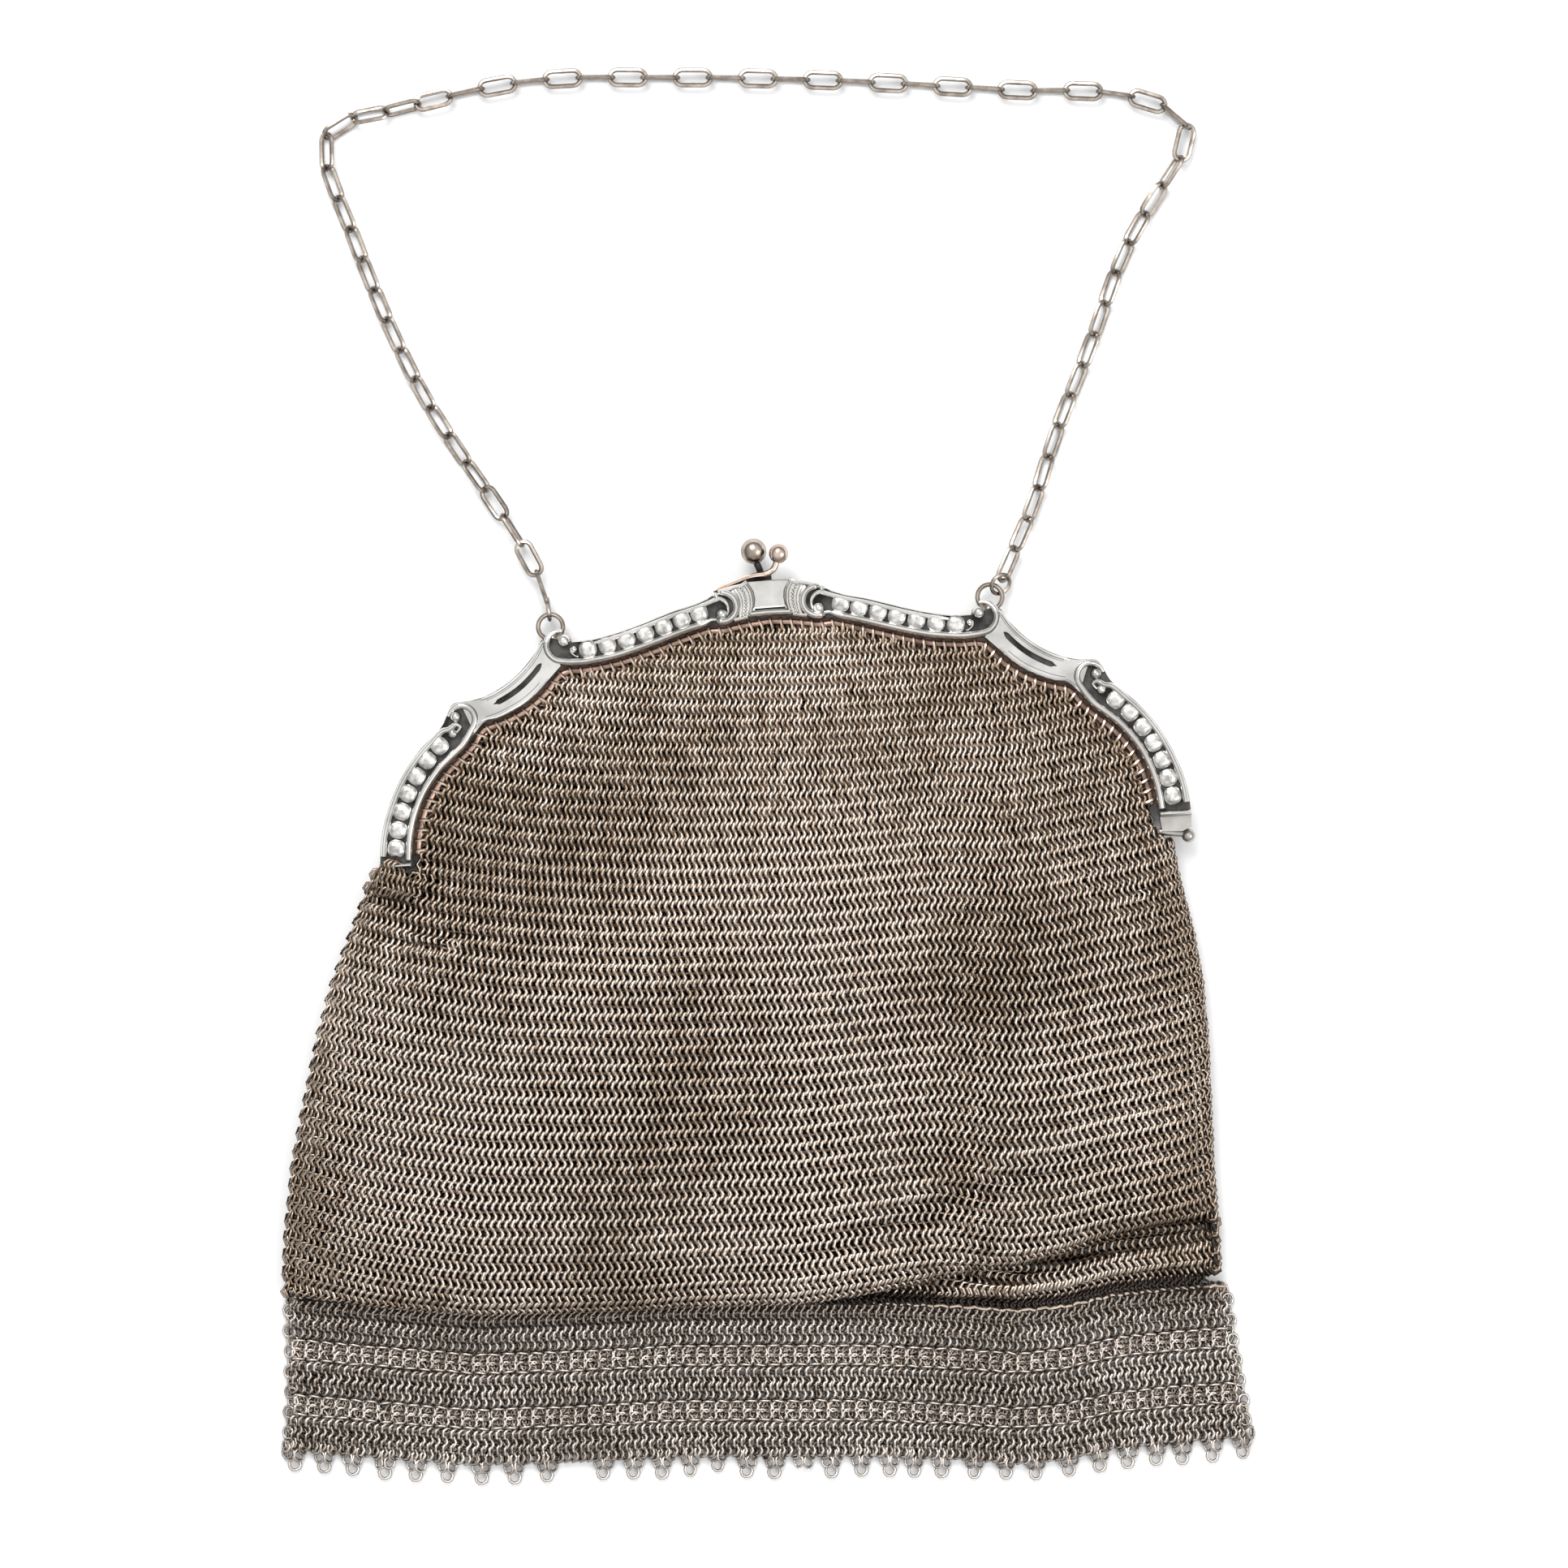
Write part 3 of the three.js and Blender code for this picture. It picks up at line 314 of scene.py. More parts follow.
outer_edge = frame_sections[:, :2] * (half_span / 100, rise / 100)
inner_edge = frame_sections[:, 2:] * (half_span / 100, rise / 100)
inner_half = smooth(inner_edge, 160)
inner_line = np.vstack([inner_half[:0:-1] * (-1, 1), inner_half])

bright_metal, dull_metal = (0.74, 0.73, 0.705), (0.50, 0.49, 0.47)
polished = silver("frame_silver", bright_metal, dull_metal, 0.16, patch=160,
                  worn=(0.0066, 0.0069, (0.05, 0.048, 0.046)))
polished_back = silver("frame_silver_back", bright_metal, dull_metal, 0.2, patch=160,
                       worn=(0.0014, 0.0011, (0.05, 0.048, 0.046)))
# Its facing shade paints shade on the sides of the chain's rings and the knob that turn away from up.
tan_silver = silver("frame_fittings", (0.62, 0.54, 0.46), (0.34, 0.28, 0.23), 0.16, patch=380,
                    facing_shade=(-0.2, 0.65))
plain_side = silver("frame_side", (0.55, 0.53, 0.5), (0.35, 0.33, 0.31), 0.28, patch=160)
oxide_and_shade = silver("frame_recess", (0.09, 0.087, 0.084), (0.025, 0.024, 0.023), 0.45, patch=420)
bead_metal = silver("frame_beads", (0.84, 0.82, 0.79), (0.38, 0.37, 0.35), 0.22, patch=900,
                    worn=(0.0066, 0.0070, (0.06, 0.058, 0.055)), grain=0.5)
bead_metal_back = silver("frame_beads_back", (0.84, 0.82, 0.79), (0.38, 0.37, 0.35), 0.22, patch=900,
                         worn=(0.0014, 0.0010, (0.06, 0.058, 0.055)), grain=0.5)
rail_section = [(-0.5, -0.2), (-0.5, 0.5), (-0.36, 0.84), (-0.14, 0.99), (0.14, 0.99),
                (0.36, 0.84), (0.5, 0.5), (0.5, -0.2)]


def arc(x, y, radius, start, end, count=14, end_radius=None):
    """Points round a middle, in degrees; with another end radius it is a spiral."""
    angles = np.radians(np.linspace(start, end, count))
    radii = np.linspace(radius, end_radius or radius, count)
    return np.column_stack([x + radii * np.cos(angles), y + radii * np.sin(angles)])


def inset(edge, first, last, distance):
    """Part of an edge of the frame, between two places across, moved into the frame."""
    line = smooth(edge, 240)
    along = np.gradient(line, axis=0)
    along /= np.linalg.norm(along, axis=1)[:, None]
    moved = line + np.column_stack([-along[:, 1], along[:, 0]]) * distance
    return moved[(line[:, 0] >= first) & (line[:, 0] <= last)][::8]


def domed_bead(x, y, long, wide, slant, foot, crest):
    """A square bead with a domed top."""
    grid = np.linspace(-1, 1, 7)
    u, v = np.meshgrid(grid, grid)
    dome = np.sqrt((1 - np.abs(u) ** 2.6) * (1 - np.abs(v) ** 2.6))
    pinch = 1 - 0.24 * (u * v) ** 2
    slant = math.radians(slant)
    across, up = u * long / 2 * pinch, v * wide / 2 * pinch
    top = np.stack([x + across * math.cos(slant) - up * math.sin(slant),
                    y + across * math.sin(slant) + up * math.cos(slant),
                    foot + (crest - foot) * (0.6 + 0.4 * dome)], -1)
    rim = ([(0, j) for j in range(6)] + [(i, 6) for i in range(6)]
           + [(6, 6 - j) for j in range(6)] + [(6 - i, 0) for i in range(6)])
    base = np.array([top[i, j] for i, j in rim])
    base[:, 2] = foot - 0.15 * np.sign(crest - foot)
    faces = [(7 * i + j, 7 * i + j + 1, 7 * i + j + 8, 7 * i + j + 7)
             for i in range(6) for j in range(6)]
    for k in range(24):
        here, following = rim[k], rim[(k + 1) % 24]
        faces.append((7 * here[0] + here[1], 49 + k, 49 + (k + 1) % 24, 7 * following[0] + following[1]))
    faces.append(tuple(49 + k for k in reversed(range(24))))
    return np.vstack([top.reshape(-1, 3), base]), faces


def pierced_link(outer, inner, foot, crest, low):
    """A flat strip between two edges, with a slot cut along its middle."""
    steps = 44
    outer, inner = smooth(outer, steps), smooth(inner, steps)
    share = np.linspace(0, 1, steps)
    width = np.linalg.norm(outer - inner, axis=1)
    half = 0.4 / width * np.sqrt(np.clip(np.minimum(share - 0.15, 0.70 - share) * 34, 0, 1))
    flat = foot + (crest - foot) * 0.62
    cut = np.where(half > 0, foot - 0.3 * (crest - foot), flat)
    middle, edge_z = 0.585, low * 0.1 + foot * 0.9
    rows = []
    for k in range(steps):
        rows.extend((*(inner[k] + (outer[k] - inner[k]) * t), z) for t, z in (
            (0.01, edge_z), (0.02, flat), (middle - half[k] - 0.012, flat),
            (middle - half[k], cut[k]), (middle + half[k], cut[k]),
            (middle + half[k] + 0.012, flat), (0.98, flat), (0.99, edge_z)))
    points = np.array(rows)
    faces, numbers = [], []
    for k in range(steps - 1):
        for j in range(8):
            after = (j + 1) % 8
            faces.append((8 * k + j, 8 * k + after, 8 * k + 8 + after, 8 * k + 8 + j))
            numbers.append(2 if j in (2, 3, 4) and half[k] > 0 else 0)
    faces += [tuple(range(8)), tuple(8 * (steps - 1) + j for j in reversed(range(8)))]
    return points, faces, numbers + [0, 0]


def frame_half(foot, crest, low):
    """One half of the frame: the floor of its channel, the top of its relief, its inner face."""
    bodies = []

    def add(points, faces, number=0):
        bodies.append(on_frame((points, faces), number))

    for side in (-1, 1):
        # body under the relief, from edge to edge, with its dark floor
        outer, inner = smooth(outer_edge, 150) * (side, 1), smooth(inner_edge, 150) * (side, 1)
        rows = [[(*inner[k], low), (*inner[k], foot), (*outer[k], foot), (*outer[k], low)]
                for k in range(150)]
        faces, numbers = [], []
        for k in range(149):
            for j in range(4):
                faces.append((4 * k + j, 4 * k + (j + 1) % 4, 4 * k + 4 + (j + 1) % 4, 4 * k + 4 + j))
                numbers.append(2 if j == 1 else 1)
        faces += [(0, 1, 2, 3), (596, 599, 598, 597)]
        add(np.array(rows).reshape(-1, 3), faces, numbers + [1, 1])

        def rail(points, width, top=1.0, count=60, narrow=(1, 1), number=0):
            line = smooth(np.asarray(points, float) * (side, 1), count)
            line = np.column_stack([line, np.full(count, foot)])
            section = [(x * width, z * (crest - foot) * top) for x, z in rail_section]
            share = np.linspace(0, 1, count)
            scale = np.minimum(1, np.minimum(narrow[0] + share * 6, narrow[1] + (1 - share) * 6))
            add(*sweep(line, section, scale=scale), number)

        def knob(x, y, radius, top=1.0, number=0):
            tall = (crest - foot) * top / radius
            add(*ball((x * side, y, foot), radius, 16, 7, lowest=0.0, stretch=(1, 1, tall)), number)

        def beads(long, *places):
            for x, y, slant in places:
                add(*domed_bead(x * side, y, long, 2.75, slant * side, foot, crest), 3)

        # inner arm: the lower rail curls up into the scroll under the chain's ring
        rail(np.vstack([[(8.6, 36.15), (9.5, 36.2)], inset(inner_edge, 10.5, 31.5, 0.55),
                        arc(33.5, 33.9, 2.65, -72, 95, 9, 2.2)]), 1.12, count=96, narrow=(0.5, 0.4))
        # its upper rail runs into a hook inside the scroll beside the middle panel
        rail(np.vstack([arc(8.35, 37.7, 1.75, 215, 100, 8), inset(outer_edge, 9.8, 31.6, -0.72)]),
             0.85, count=96, narrow=(0.4, 0.4))
        # a thin edge of the half shows above it
        rail(inset(outer_edge, 9.5, 33.0, -0.12), 0.24, top=0.4, count=40, narrow=(0.5, 0.5))
        knob(33.15, 34.45, 1.05)
        knob(31.6, 32.95, 0.66, top=0.95)
        rail([(32.1, 33.2), (32.05, 32.5), (31.4, 31.9), (30.7, 31.75)], 0.4, top=0.7, count=12,
             narrow=(1, 0.3))
        # scroll beside the middle panel, open at the top, with a ball at either end
        rail(arc(7.6, 38.1, 2.3, 78, 300, 16), 1.1, count=54, narrow=(0.6, 0.5))
        knob(8.45, 39.95, 0.55)
        knob(7.75, 36.95, 1.0)
        # seven beads of the inner arm
        beads(2.8, (11.3, 37.4, -12), (14.15, 36.55, -17), (17.1, 35.65, -17), (20.1, 34.75, -16),
              (23.15, 33.95, -13), (26.25, 33.3, -10), (29.35, 32.85, -6))
        # plain link: a strip with a slot, each edge raised, and a dark line along it
        add(*pierced_link(inset(outer_edge, 36.3, 51.2, -0.05) * (side, 1),
                          inset(inner_edge, 33.6, 49.8, 0.05) * (side, 1), foot, crest, low))
        rail(inset(outer_edge, 36.6, 50.4, -0.35), 0.5, top=0.9, count=36, narrow=(1, 0.4))
        rail(inset(outer_edge, 36.6, 49.4, -0.75), 0.22, top=0.64, count=36, narrow=(1, 0.4), number=2)
        rail(inset(inner_edge, 35.6, 49.0, 0.28), 0.4, top=0.8, count=36, narrow=(1, 0.4))
        rail(inset(inner_edge, 35.8, 48.2, 0.95), 0.24, top=0.64, count=36, narrow=(0.5, 0.4), number=2)
        # outer arm: its inner rail curls over in the volute, its outer rail starts under it
        rail(np.vstack([arc(50.2, 23.1, 2.15, 15, 212, 12), inset(inner_edge, 49.9, 59.9, 0.58)]),
             1.15, count=120, narrow=(0.5, 1))
        rail(np.vstack([[(51.1, 21.0), (50.5, 21.9), (51.2, 22.3), (52.3, 21.6)],
                        inset(outer_edge, 53.6, 64.9, -0.6)]), 1.05, count=110, narrow=(0.4, 1))
        knob(51.1, 23.5, 0.95)
        knob(51.8, 20.9, 0.85, top=0.9, number=3)
        beads(2.75, (53.95, 19.1, -44), (56.1, 16.95, -48), (57.95, 14.5, -54), (59.5, 11.85, -61),
              (60.65, 9.05, -68), (61.45, 6.15, -74), (61.95, 3.25, -80))
        rail([(59.8, 0.5), (62.2, 0.48), (64.7, 0.5)], 0.9, top=0.95, count=10)
        # curved border of the middle panel, a row of tiny beads beside it, and the plate they stand on
        rail([(4.0, 36.5), (3.85, 37.6), (3.8, 38.9), (4.05, 40.2), (4.75, 41.3)], 2.9, top=0.5, count=22)
        rail([(3.35, 36.5), (2.95, 37.6), (2.85, 38.9), (3.1, 40.3), (3.75, 41.4)], 0.62, count=22)
        for x, y in smooth([(4.15, 36.3), (3.85, 37.6), (3.75, 38.9), (4.0, 40.2), (4.6, 41.0)], 10):
            knob(x, y, 0.36, top=0.9)
        rail([(4.85, 36.2), (4.6, 37.3), (4.5, 38.4), (4.7, 39.6), (5.3, 40.8)], 0.7, top=0.8, count=22)
        rail([(3.4, 41.4), (5.0, 41.15), (6.5, 40.85), (7.7, 40.5)], 0.7, top=0.8, count=20)
        rail([(3.6, 36.3), (4.6, 36.1), (5.8, 35.9)], 0.7, top=0.8, count=12)
    # plain panel, and the rail under it
    panel = [(-2.55, 37.5), (2.55, 37.5), (2.35, 38.9), (2.5, 40.2), (3.3, 41.75), (0, 41.8),
             (-3.3, 41.75), (-2.5, 40.2), (-2.35, 38.9)]
    count = len(panel)
    points = np.array([(x, y, foot - 0.1) for x, y in panel]
                      + [(x, y, foot + (crest - foot) * 0.6) for x, y in panel]
                      + [(x * 0.95, 39.8 + (y - 39.8) * 0.92, foot + (crest - foot) * 0.75)
                         for x, y in panel])
    faces = [tuple(reversed(range(count))), tuple(2 * count + k for k in range(count))]
    for row in (0, count):
        faces += [(row + k, row + (k + 1) % count, row + count + (k + 1) % count, row + count + k)
                  for k in range(count)]
    add(points, faces)
    line = np.column_stack([smooth([(-3.4, 36.7), (0, 36.8), (3.4, 36.7)], 20), np.full(20, foot)])
    add(*sweep(line, [(x, z * (crest - foot)) for x, z in rail_section]))
    return bodies


piece("frame_front_relief", frame_half(6.65, 7.82, 4.15), [polished, plain_side, oxide_and_shade, bead_metal],
      "frame_front")
back_bodies = frame_half(1.35, 0.18, 3.85)


def hoop(middle, radius, one_way, other_way):
    """Points round a ring whose plane holds two directions."""
    angles = np.linspace(0, 2 * math.pi, 29)[:-1, None]
    return np.asarray(middle) + radius * (np.cos(angles) * one_way + np.sin(angles) * other_way)


# The two rings for the chain stand on the outside of the back half's small scrolls
for side in (-1, 1):
    circle = hoop((35.19 * side, 36.9, 2.6), 2.0, np.array((1, 0, 0)), np.array((0, 1, 0)))
    back_bodies.append(on_frame(sweep(circle, round_section(0.38, 10), closed=True), 4))
    back_bodies.append(on_frame(ball((34.9 * side, 35.0, 2.6), 0.75, 14, 8), 4))
# its knob on a short stem, which the other half's knob snaps past
stem = smooth([(-0.7, 42.0, 3.3), (-1.2, 43.6, 3.9), (-1.9, 45.6, 4.18)], 16)
back_bodies.append(on_frame(sweep(stem, round_section(0.55, 12), up=(0.7, 0.2, 1)), 2))
back_bodies.append(on_frame(ball((-1.975, 46.7, 4.18), 2.05, 32, 20), 4))
# a dark ledge under the clasp's strip, as painted shade in the gap between the halves
shade_ledge = smooth([(0.6, 42.1, 4.6), (-2.5, 41.9, 4.6), (-5.2, 41.25, 4.6), (-8.6, 40.1, 4.6)], 24)
shade_ledge_section = [(-0.65, -0.6), (-0.65, 0.2), (0.65, 0.2), (0.65, -0.6)]
back_bodies.append(on_frame(sweep(shade_ledge, shade_ledge_section), 2))
piece("frame_back_relief", back_bodies,
      [polished_back, plain_side, oxide_and_shade, bead_metal_back, tan_silver],
      "frame_back")

# Hinges
# A steel-grey pin runs through both halves at each end of the frame. The right one ends in a
# small ball under its block, and the mail covers the left one.
def hinge_pin(start, end):
    return on_frame(sweep(np.linspace(start, end, 8), round_section(0.55, 12)))


block = [(59.75, -0.05), (64.75, -0.05), (64.6, -1.9), (63.2, -2.5), (60.0, -2.3)]
block_points = np.array([(x, y, z) for z in (2.4, 6.4) for x, y in block])
block_faces = [(4, 3, 2, 1, 0), (5, 6, 7, 8, 9)]
block_faces += [(k, (k + 1) % 5, 5 + (k + 1) % 5, 5 + k) for k in range(5)]
piece("hinge_left", [hinge_pin((-59.8, -2.9, 4.0), (-64.2, -2.9, 4.0))],
      [plain_side], "hinge_pin_left")
piece("hinge_right", [hinge_pin((59.6, -2.35, 4.0), (64.4, -3.1, 4.0)),
                      on_frame(ball((64.2, -3.3, 4.0), 1.1, 22, 14)),
                      on_frame((block_points, block_faces))],
      [plain_side], "hinge_pin_right")

# Clasp spring
# A smaller knob on a wire that bends down in front of the first and runs out into a flat
# springy strip along the top of the frame. Its plating has worn to the copper underneath.
# Its facing shade paints shade on the sides of the wire and knob that turn away from up.
coppery = silver("clasp_metal", (0.70, 0.58, 0.50), (0.50, 0.36, 0.28), 0.16, patch=420,
                 facing_shade=(-0.2, 0.65))
wire_steps = 60
wire = smooth([(1.75, 45.2, 5.85), (1.0, 43.6, 5.9), (-0.2, 42.95, 5.85), (-2.5, 42.75, 5.85),
               (-5.2, 42.0, 5.85), (-8.2, 40.9, 5.85)], wire_steps)
angle = np.linspace(0, 2 * math.pi, 13)[:-1]
wire_section = 0.5 * np.column_stack([np.cos(angle), np.sin(angle)])
strip_section = np.column_stack([0.36 * np.sign(np.cos(angle)) * np.abs(np.cos(angle)) ** 0.4,
                                 1.05 * np.sign(np.sin(angle)) * np.abs(np.sin(angle)) ** 0.4])
flattened = np.clip((np.linspace(0, 1, wire_steps) - 0.22) / 0.3, 0, 1)[:, None, None]
along = np.gradient(wire, axis=0)
across = np.cross(along, (0, 0, 1))
across /= np.linalg.norm(across, axis=1)[:, None]
section = wire_section * (1 - flattened) + strip_section * flattened
strip_points = wire[:, None] + across[:, None] * section[..., :1] + np.array([0, 0, 1]) * section[..., 1:]
strip_faces = sweep(wire, wire_section)[1]
piece("clasp_spring_wire", [on_frame(ball((1.975, 46.0, 5.85), 1.55, 28, 18)),
                            on_frame((strip_points.reshape(-1, 3), strip_faces))],
      [coppery], "clasp_spring")

# Bag
# Ring mail of 0.6 mm silver wire, with rings 2.5 mm across. It lies flat on its back, bulges over
# the hem in front, where it has slipped up in a fold at the right end, and sinks to the frame at
# its mouth. The front is made as three pieces and the back as two.
def ring_mail(name, middles, lefts, ups, leans, tones, radius, wire, steps, sides):
    """Rings on a surface: lefts and ups lie in it, leans turn a ring about its up direction."""
    lefts = lefts / np.linalg.norm(lefts, axis=1)[:, None]
    outs = np.cross(lefts, ups)
    outs /= np.linalg.norm(outs, axis=1)[:, None]
    ups = np.cross(outs, lefts)
    cosine, sine = np.cos(leans)[:, None], np.sin(leans)[:, None]
    x_axis = lefts * cosine - outs * sine
    z_axis = lefts * sine + outs * cosine
    turn_x = np.arctan2(ups[:, 2], z_axis[:, 2])
    turn_y = -np.arcsin(np.clip(x_axis[:, 2], -1, 1))
    turn_z = np.arctan2(x_axis[:, 1], x_axis[:, 0])
    seeds = bpy.data.meshes.new(name + "_seeds")
    seeds.from_pydata([tuple(point) for point in middles * mm], [], [])
    rotation = seeds.attributes.new("turned", "FLOAT_VECTOR", "POINT")
    rotation.data.foreach_set("vector", np.column_stack([turn_x, turn_y, turn_z]).ravel())
    tone = seeds.attributes.new("tone", "FLOAT", "POINT")
    tone.data.foreach_set("value", np.asarray(tones, np.float32))
    made = bpy.data.objects.new(name, seeds)
    scene.collection.objects.link(made)
    group = bpy.data.node_groups.get("ring_mail") or ring_group()
    weave = made.modifiers.new("rings", "NODES")
    weave.node_group = group
    values = {"Radius": radius * mm, "Wire": wire * mm, "Steps": steps, "Sides": sides}
    for socket in group.interface.items_tree:
        if socket.item_type == "SOCKET" and socket.name in values:
            weave[socket.identifier] = values[socket.name]
    return made


def ring_group():
    """The tree that puts one ring of round wire on every point, turned as the point says."""
    group = bpy.data.node_groups.new("ring_mail", "GeometryNodeTree")
    group.interface.new_socket("Geometry", in_out="INPUT", socket_type="NodeSocketGeometry")
    for name, kind in (("Radius", "NodeSocketFloat"), ("Wire", "NodeSocketFloat"),
                       ("Steps", "NodeSocketInt"), ("Sides", "NodeSocketInt"),
                       ("Material", "NodeSocketMaterial")):
        group.interface.new_socket(name, in_out="INPUT", socket_type=kind)
    group.interface.new_socket("Geometry", in_out="OUTPUT", socket_type="NodeSocketGeometry")
    nodes, links = group.nodes, group.links
    given, made = nodes.new("NodeGroupInput"), nodes.new("NodeGroupOutput")
    ring = nodes.new("GeometryNodeCurvePrimitiveCircle")
    wire = nodes.new("GeometryNodeCurvePrimitiveCircle")
    links.new(given.outputs["Radius"], ring.inputs["Radius"])
    links.new(given.outputs["Steps"], ring.inputs["Resolution"])
    links.new(given.outputs["Wire"], wire.inputs["Radius"])
    links.new(given.outputs["Sides"], wire.inputs["Resolution"])
    solid = nodes.new("GeometryNodeCurveToMesh")
    links.new(ring.outputs["Curve"], solid.inputs["Curve"])
    links.new(wire.outputs["Curve"], solid.inputs["Profile Curve"])
    smoothed = nodes.new("GeometryNodeSetShadeSmooth")
    links.new(solid.outputs[0], smoothed.inputs["Geometry"])
    turned = nodes.new("GeometryNodeInputNamedAttribute")
    turned.data_type = "FLOAT_VECTOR"
    turned.inputs["Name"].default_value = "turned"
    placed = nodes.new("GeometryNodeInstanceOnPoints")
    links.new(given.outputs["Geometry"], placed.inputs["Points"])
    links.new(smoothed.outputs[0], placed.inputs["Instance"])
    links.new(turned.outputs["Attribute"], placed.inputs["Rotation"])
    real = nodes.new("GeometryNodeRealizeInstances")
    links.new(placed.outputs[0], real.inputs[0])
    dressed = nodes.new("GeometryNodeSetMaterial")
    links.new(real.outputs[0], dressed.inputs["Geometry"])
    links.new(given.outputs["Material"], dressed.inputs["Material"])
    links.new(dressed.outputs[0], made.inputs[0])
    return group


def settle(made, material, replaced):
    """The rings as one plain mesh with its material, carried by the purse."""
    weave = made.modifiers["rings"]
    for socket in weave.node_group.interface.items_tree:
        if socket.item_type == "SOCKET" and socket.name == "Material":
            weave[socket.identifier] = material
    bpy.context.view_layer.update()
    ready = made.evaluated_get(bpy.context.evaluated_depsgraph_get())
    rings = bpy.data.meshes.new_from_object(ready)
    made.modifiers.clear()
    seeds = made.data
    made.data = rings
    bpy.data.meshes.remove(seeds)
    rings.materials.clear()
    rings.materials.append(material)
    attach(made, "root")
    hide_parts(replaced)


bag_edges = np.array([
    # height, left side, right side
    (-90, -77.4, 73.0), (-81.1, -77.4, 73.0), (-73.3, -77.2, 72.5), (-62.9, -76.2, 71.8),
    (-52.5, -74.3, 71.4), (-42.1, -72.2, 70.9), (-31.7, -69.4, 69.9), (-23.9, -66.4, 68.4),
    (-18.7, -64.4, 67.0), (-13.5, -61.8, 65.8), (-8.3, -60.4, 65.0), (2.1, -57.5, 62.3),
    (12.5, -54.6, 59.2), (22, -52.4, 56.5), (40, -52, 55),
])
dash_line = np.array([
    # the first line of the fringe's openwork, which the hem follows 7.1 mm above
    (-78.3, -89.9), (-71.5, -90.5), (-60.6, -91.5), (-46, -92.6), (-31.5, -92.1),
    (-13.3, -91.2), (15.1, -91.1), (30.7, -91.7), (40, -92.4), (47.8, -91.7),
    (55.6, -89.9), (64, -89.0), (78.3, -88.0),
])
hem_above = 7.1
bulge_lift = np.array([
    # how far the bulge's lower edge lies above the hem
    (-78.3, -0.4), (-60, -0.9), (-20, -1.2), (5, -0.6), (17.7, 0.9), (25.5, 2.3),
    (32.8, 4.3), (39, 5.6), (46.3, 6.9), (54.1, 7.8), (61.9, 8.7), (74, 10),
])
crown, side_fold, mouth_z = 9.6, 3.2, 6.3
column_count = 262
row_count = 97


def fringe_line(x):
    """Height of the fringe's first line of openwork."""
    return np.interp(x, dash_line[:, 0], dash_line[:, 1])


def bag_column(across, front):
    """A line up the bag at one place across, from the hem seam to above the mouth."""
    hem_x = np.interp(across, (-1, 1), bag_edges[0, 1:])
    hem_y = fringe_line(hem_x) + hem_above
    lift = np.interp(hem_x, bulge_lift[:, 0], bulge_lift[:, 1])
    nose = hem_y + lift
    top = 31 + 5 * across * across
    edge = max(0.0, 1 - abs(across) ** 7) ** 0.5
    if front:
        slope = min(1.0, max(0.0, lift / 3))
        shoulder = [(nose + 1.1 - 0.8 * slope, 2.9 + 0.4 * slope),
                    (nose + 1.1 * slope, 4.4 + 0.5 * slope),
                    (nose + 0.7 + 1.6 * slope, 6.4 + 0.3 * slope), (nose + 3 + 2 * slope, 7.9),
                    (nose + 8 + slope, 8.8), (nose + 18, crown)]
        ridge = min(1.0, max(0.0, (lift - 2) / 3))
        ledge = [(hem_y + 0.5 + 0.45 * lift, 2.7 + (0.6 + 0.22 * lift) * ridge),
                 (nose - 0.4, 2.7 + 0.9 * ridge)]
        profile = [(hem_y + 0.9, 2.2)] + (ledge if lift > 2 else []) + shoulder
    else:
        profile = [(hem_y, 1.7), (hem_y + 2, 0.5), (hem_y + 5, 0.0)]
    ys = [p[0] for p in profile] + list(np.linspace(profile[-1][0] + 4, top, 30))
    zs = [p[1] for p in profile] + [profile[-1][1]] * 30
    line = smooth(np.column_stack([ys, zs]), 400)
    ys, zs = line[:, 0], line[:, 1]
    left = np.interp(ys, bag_edges[:, 0], bag_edges[:, 1])
    right = np.interp(ys, bag_edges[:, 0], bag_edges[:, 2])
    xs = left + (across + 1) / 2 * (right - left)
    if front:
        zs = side_fold + (zs - side_fold) * np.where(zs > side_fold, edge, 1)
    else:
        zs = side_fold - (side_fold - zs) * edge
    return np.column_stack([xs, ys, zs])


# Places across at even steps round the bag's section, front from left to right, then the back
section_x = np.sin(np.linspace(-math.pi / 2, math.pi / 2, 2000))
section_front = side_fold + (crown - side_fold) * np.sqrt(1 - np.abs(section_x) ** 7)
section_back = side_fold * (1 - np.sqrt(1 - np.abs(section_x) ** 7))
round_x = np.concatenate([section_x, section_x[::-1]])
round_z = np.concatenate([section_front, section_back[::-1]])
round_length = np.concatenate([[0], np.cumsum(np.hypot(np.diff(round_x * 73), np.diff(round_z)))])
half_steps = np.arange(2 * column_count) / (2 * column_count) * round_length[-1]
column_across = np.interp(half_steps, round_length, round_x)
column_front = half_steps < round_length[1999]

row_weight = np.interp(np.linspace(0, 1, row_count - 1), (0, 0.2, 0.45, 0.7, 1),
                       (1.36, 1.34, 1.27, 1.17, 1.07))
row_share = np.concatenate([[0], np.cumsum(row_weight)]) / row_weight.sum()
surface = np.empty((row_count, 2 * column_count, 3))
for k in range(2 * column_count):
    line = bag_column(column_across[k], column_front[k])
    length = np.concatenate([[0], np.cumsum(np.linalg.norm(np.diff(line, axis=0), axis=1))])
    for axis in range(3):
        surface[:, k, axis] = np.interp(row_share * length[-1], length, line[:, axis])

